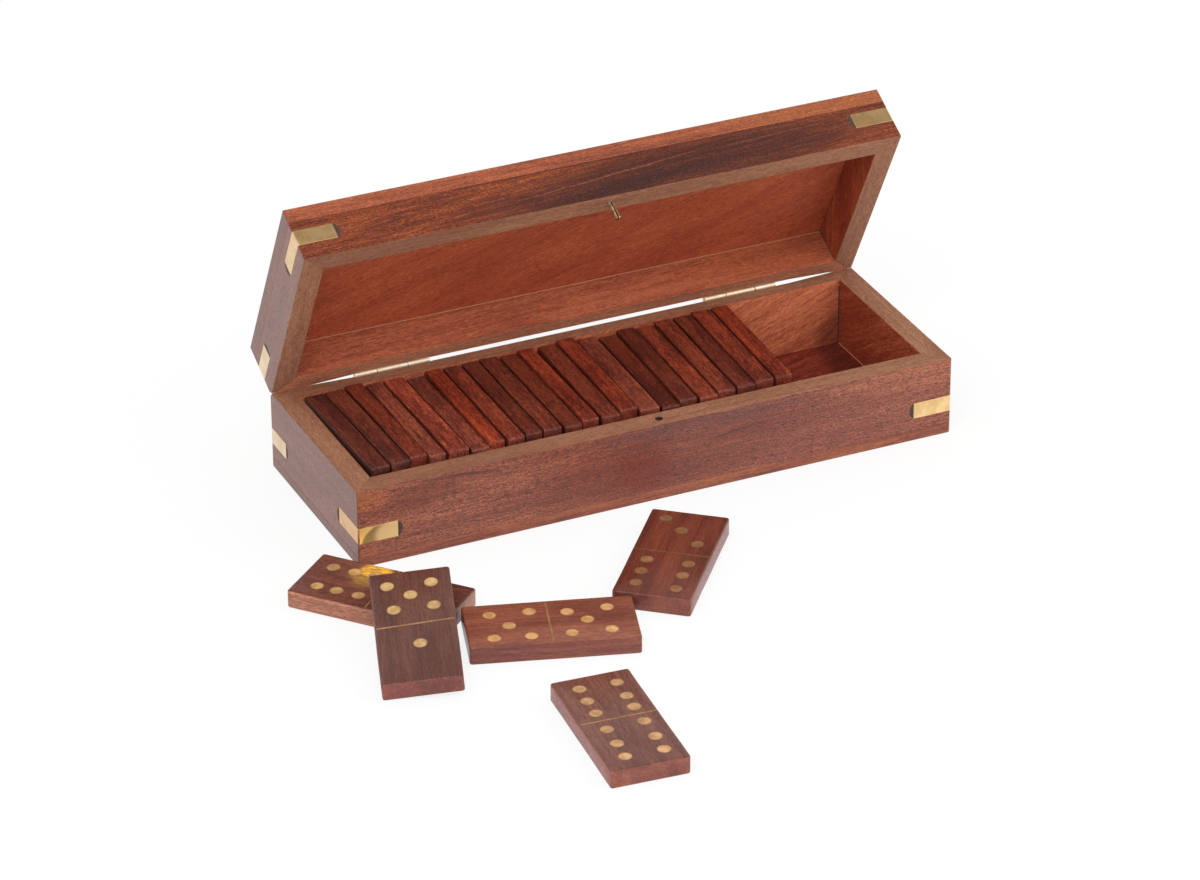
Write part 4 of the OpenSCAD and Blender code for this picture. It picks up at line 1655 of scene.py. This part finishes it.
@dataclass
class Box:
    """The base and the lid with their brass, their wax and their glue.

    Attributes:
        finishes: The shared materials.
        strap_edge: Width of the straps' softened edges in millimetres.
        leaf_edge: The same of the hinge leaves and the catch.
        pin_edge: The same of the nails and the hinge pins.
    """

    finishes: Finishes
    strap_edge: float = 0.1
    leaf_edge: float = 0.08
    pin_edge: float = 0.05

    def fit(self, node: str, half: Half, *looks: Any) -> None:
        """Puts in one brass fitting that moves with a half."""
        Fitting(node, half.value, *looks).build(self.finishes)

    def fill(self, name: str, patches: Sequence[Patch], finish: Finish, half: Half) -> None:
        """Puts in one piece of wax, glue, torn wood or painted shade, which stands for no node."""
        made = self.finishes.several((finish,))
        piece_of(name, mesh_of(patches), made, half.value, [])

    def straps(self, half: Half) -> None:
        """The four corner straps of a half and the wax at their ends."""
        plugs = []
        for end in (Side.FRONT, Side.BACK):
            for side in (Side.LEFT, Side.RIGHT):
                node = f"{half.value}_strap_{end.word}_{side.word}"
                finish, tone = STRAPS.get(node, (Finish.STRAP, EVEN))
                self.fit(node, half, finish, self.strap_edge, Finish.STRAP_SIDE, tone)
                plugs.append(Plug(half, end, side.value[0], node).patch())
                plugs.append(Plug(half, side, end.value[1], node).patch())
        self.fill(f"{half.value}_strap_wax", plugs, Finish.WAX, half)

    def hinges(self, half: Half) -> None:
        """The hinge leaves of a half and their nails."""
        for side in ("left", "right"):
            self.fit(f"{side}_hinge_{half.value}_leaf", half, Finish.HINGE, self.leaf_edge)
        self.fit(f"{half.value}_hinge_nails", half, Finish.PIN, self.pin_edge)

    def beads(self) -> None:
        """Glue that was pressed out of two joints, and dark beads of painted shade in the corners.
        """
        for half in Half:
            for name, finish, beads in (("glue", Finish.GLUE, GLUE), ("dirt", Finish.WAX, PAINTED_CORNER_SHADE)):
                patches = [bead.patch() for bead in beads if bead.half is half]
                self.fill(f"{half.value}_{name}", patches, finish, half)

    def build(self) -> None:
        """Builds the wood, the brass, the wax and the glue."""
        for part in BOARDS + PANELS:
            part.build(self.finishes)
        for half in Half:
            self.straps(half)
            self.hinges(half)
        self.beads()
        torn = [strip.patch() for strip in SPLINTERS]
        self.fill("base_rim_splinters", torn, Finish.TORN, Half.BASE)
        self.fit("hinge_pins", Half.BASE, Finish.PIN, self.pin_edge)
        self.fit("catch_pin", Half.LID, Finish.CATCH, self.leaf_edge)


# ---- the studio ----------------------------------------------------------------------


@dataclass
class Studio:
    """A pale floor, soft light and the camera.

    Attributes:
        eye: Where the camera is, in metres.
        yaw: How far it is turned to the right of Y, in degrees.
        pitch: How far it looks down, in degrees.
        roll: How far it is turned about its line of sight, in degrees.
        lens: Its focal length in millimetres.
        sensor: The width of its sensor in millimetres.
        floor_half: Half the floor's width in metres.
        floor_drop: How far the floor lies below the feet, in metres.
        glow: How much of the floor shows plain white.
        sky: Strength of the light from all round.
        overhead: How much darker it is overhead in reflections.
        darkens: The heights, as sines, between which that darkness grows.
    """

    eye: Triple = (-0.610846, -1.323217, 0.808349)
    yaw: float = 24.6218
    pitch: float = 28.9160
    roll: float = -0.2409
    lens: float = 160.456
    sensor: float = 36
    floor_half: float = 6.0
    floor_drop: float = 0.00002
    glow: float = 0.84
    sky: float = 0.8
    overhead: float = 0.55
    darkens: Pair = (0.5, 0.9)

    def camera(self) -> None:
        """Looks down on the box from the front left."""
        yaw, pitch, roll = (math.radians(a) for a in (self.yaw, self.pitch, self.roll))
        ahead = np.array([
            math.sin(yaw) * math.cos(pitch), math.cos(yaw) * math.cos(pitch), -math.sin(pitch),
        ])
        right = np.cross(ahead, [0, 0, 1])
        right /= np.linalg.norm(right)
        up = np.cross(right, ahead)
        level = np.array([right, up])
        mix = np.array([[math.cos(roll), math.sin(roll)], [-math.sin(roll), math.cos(roll)]])
        right, up = mix @ level
        data = bpy.data.cameras.new("camera")
        data.lens = self.lens
        data.sensor_width = self.sensor
        data.sensor_fit = "HORIZONTAL"
        data.clip_start = 0.05
        data.clip_end = 50
        camera = bpy.data.objects.new("camera", data)
        turn = Matrix(np.array([right, up, -ahead]).T.tolist()).to_4x4()
        camera.matrix_world = Matrix.Translation(self.eye) @ turn
        bpy.context.scene.collection.objects.link(camera)
        bpy.context.scene.camera = camera

    def world(self) -> None:
        """Even white light, plain white to the camera, and darker overhead in reflections."""
        world = bpy.data.worlds.new("studio")
        bpy.context.scene.world = world
        n = Nodes(world)
        height = n.add("SeparateXYZ")
        n.link(n.add("TexCoord").outputs["Generated"], height.inputs[0])
        dark = n.span(height.outputs["Z"], *self.darkens, 0.0, self.overhead)
        dark = n.math("MULTIPLY", dark, n.add("LightPath").outputs["Is Glossy Ray"])
        lit = n.shader("Background", (1, 0.99, 0.97), self.sky)
        seen = n.shader("Background", (1, 1, 1), n.math("SUBTRACT", 1.0, dark))
        n.end("OutputWorld", n.looking(), lit, seen)

    def floor(self) -> None:
        """A white floor that keeps a faint shadow."""
        half = self.floor_half
        corners = [(-half, -half, 0), (half, -half, 0), (half, half, 0), (-half, half, 0)]
        mesh = bpy.data.meshes.new("floor")
        mesh.from_pydata(corners, [], [(0, 1, 2, 3)])
        n = Nodes(bpy.data.materials.new("white_floor"))
        paper = n.shader("BsdfDiffuse", (0.94, 0.94, 0.94))
        glow = n.shader("Emission", (1, 1, 1), 1.0)
        n.end("OutputMaterial", n.math("MULTIPLY", n.looking(), self.glow), paper, glow)
        mesh.materials.append(n.owner)
        floor = bpy.data.objects.new("floor", mesh)
        floor.location.z = -self.floor_drop
        bpy.context.scene.collection.objects.link(floor)

    def lamp(self, name: str, spot: Triple, size: float, power: float) -> None:
        """A square soft lamp that looks at the box.

        Args:
            name: Its name.
            spot: Where it is, in metres.
            size: The length of its sides in metres.
            power: Its power in watts.
        """
        data = bpy.data.lights.new(name, "AREA")
        data.shape = "SQUARE"
        data.size = size
        data.energy = power
        lamp = bpy.data.objects.new(name, data)
        away = np.array(spot, float)
        away /= np.linalg.norm(away)
        side = np.cross([0, 0, 1], away)
        side /= np.linalg.norm(side)
        turn = Matrix(np.array([side, np.cross(away, side), away]).T.tolist()).to_4x4()
        lamp.matrix_world = Matrix.Translation(spot) @ turn
        bpy.context.scene.collection.objects.link(lamp)

    def build(self) -> None:
        """Sets up the camera, the light and the floor."""
        bpy.context.scene.view_settings.view_transform = "Standard"
        self.camera()
        self.world()
        self.floor()
        self.lamp("key", (-0.9, -1.1, 1.6), size=1.0, power=17.0)
        self.lamp("fill", (1.2, -0.9, 0.9), size=1.2, power=6.5)


def main() -> None:
    """Builds everything."""
    logging.basicConfig(level=logging.INFO, format="%(name)s: %(message)s")
    finishes = Finishes()
    Studio().build()
    Box(finishes).build()
    Dominoes(finishes).build()


if __name__ == "__main__":
    main()
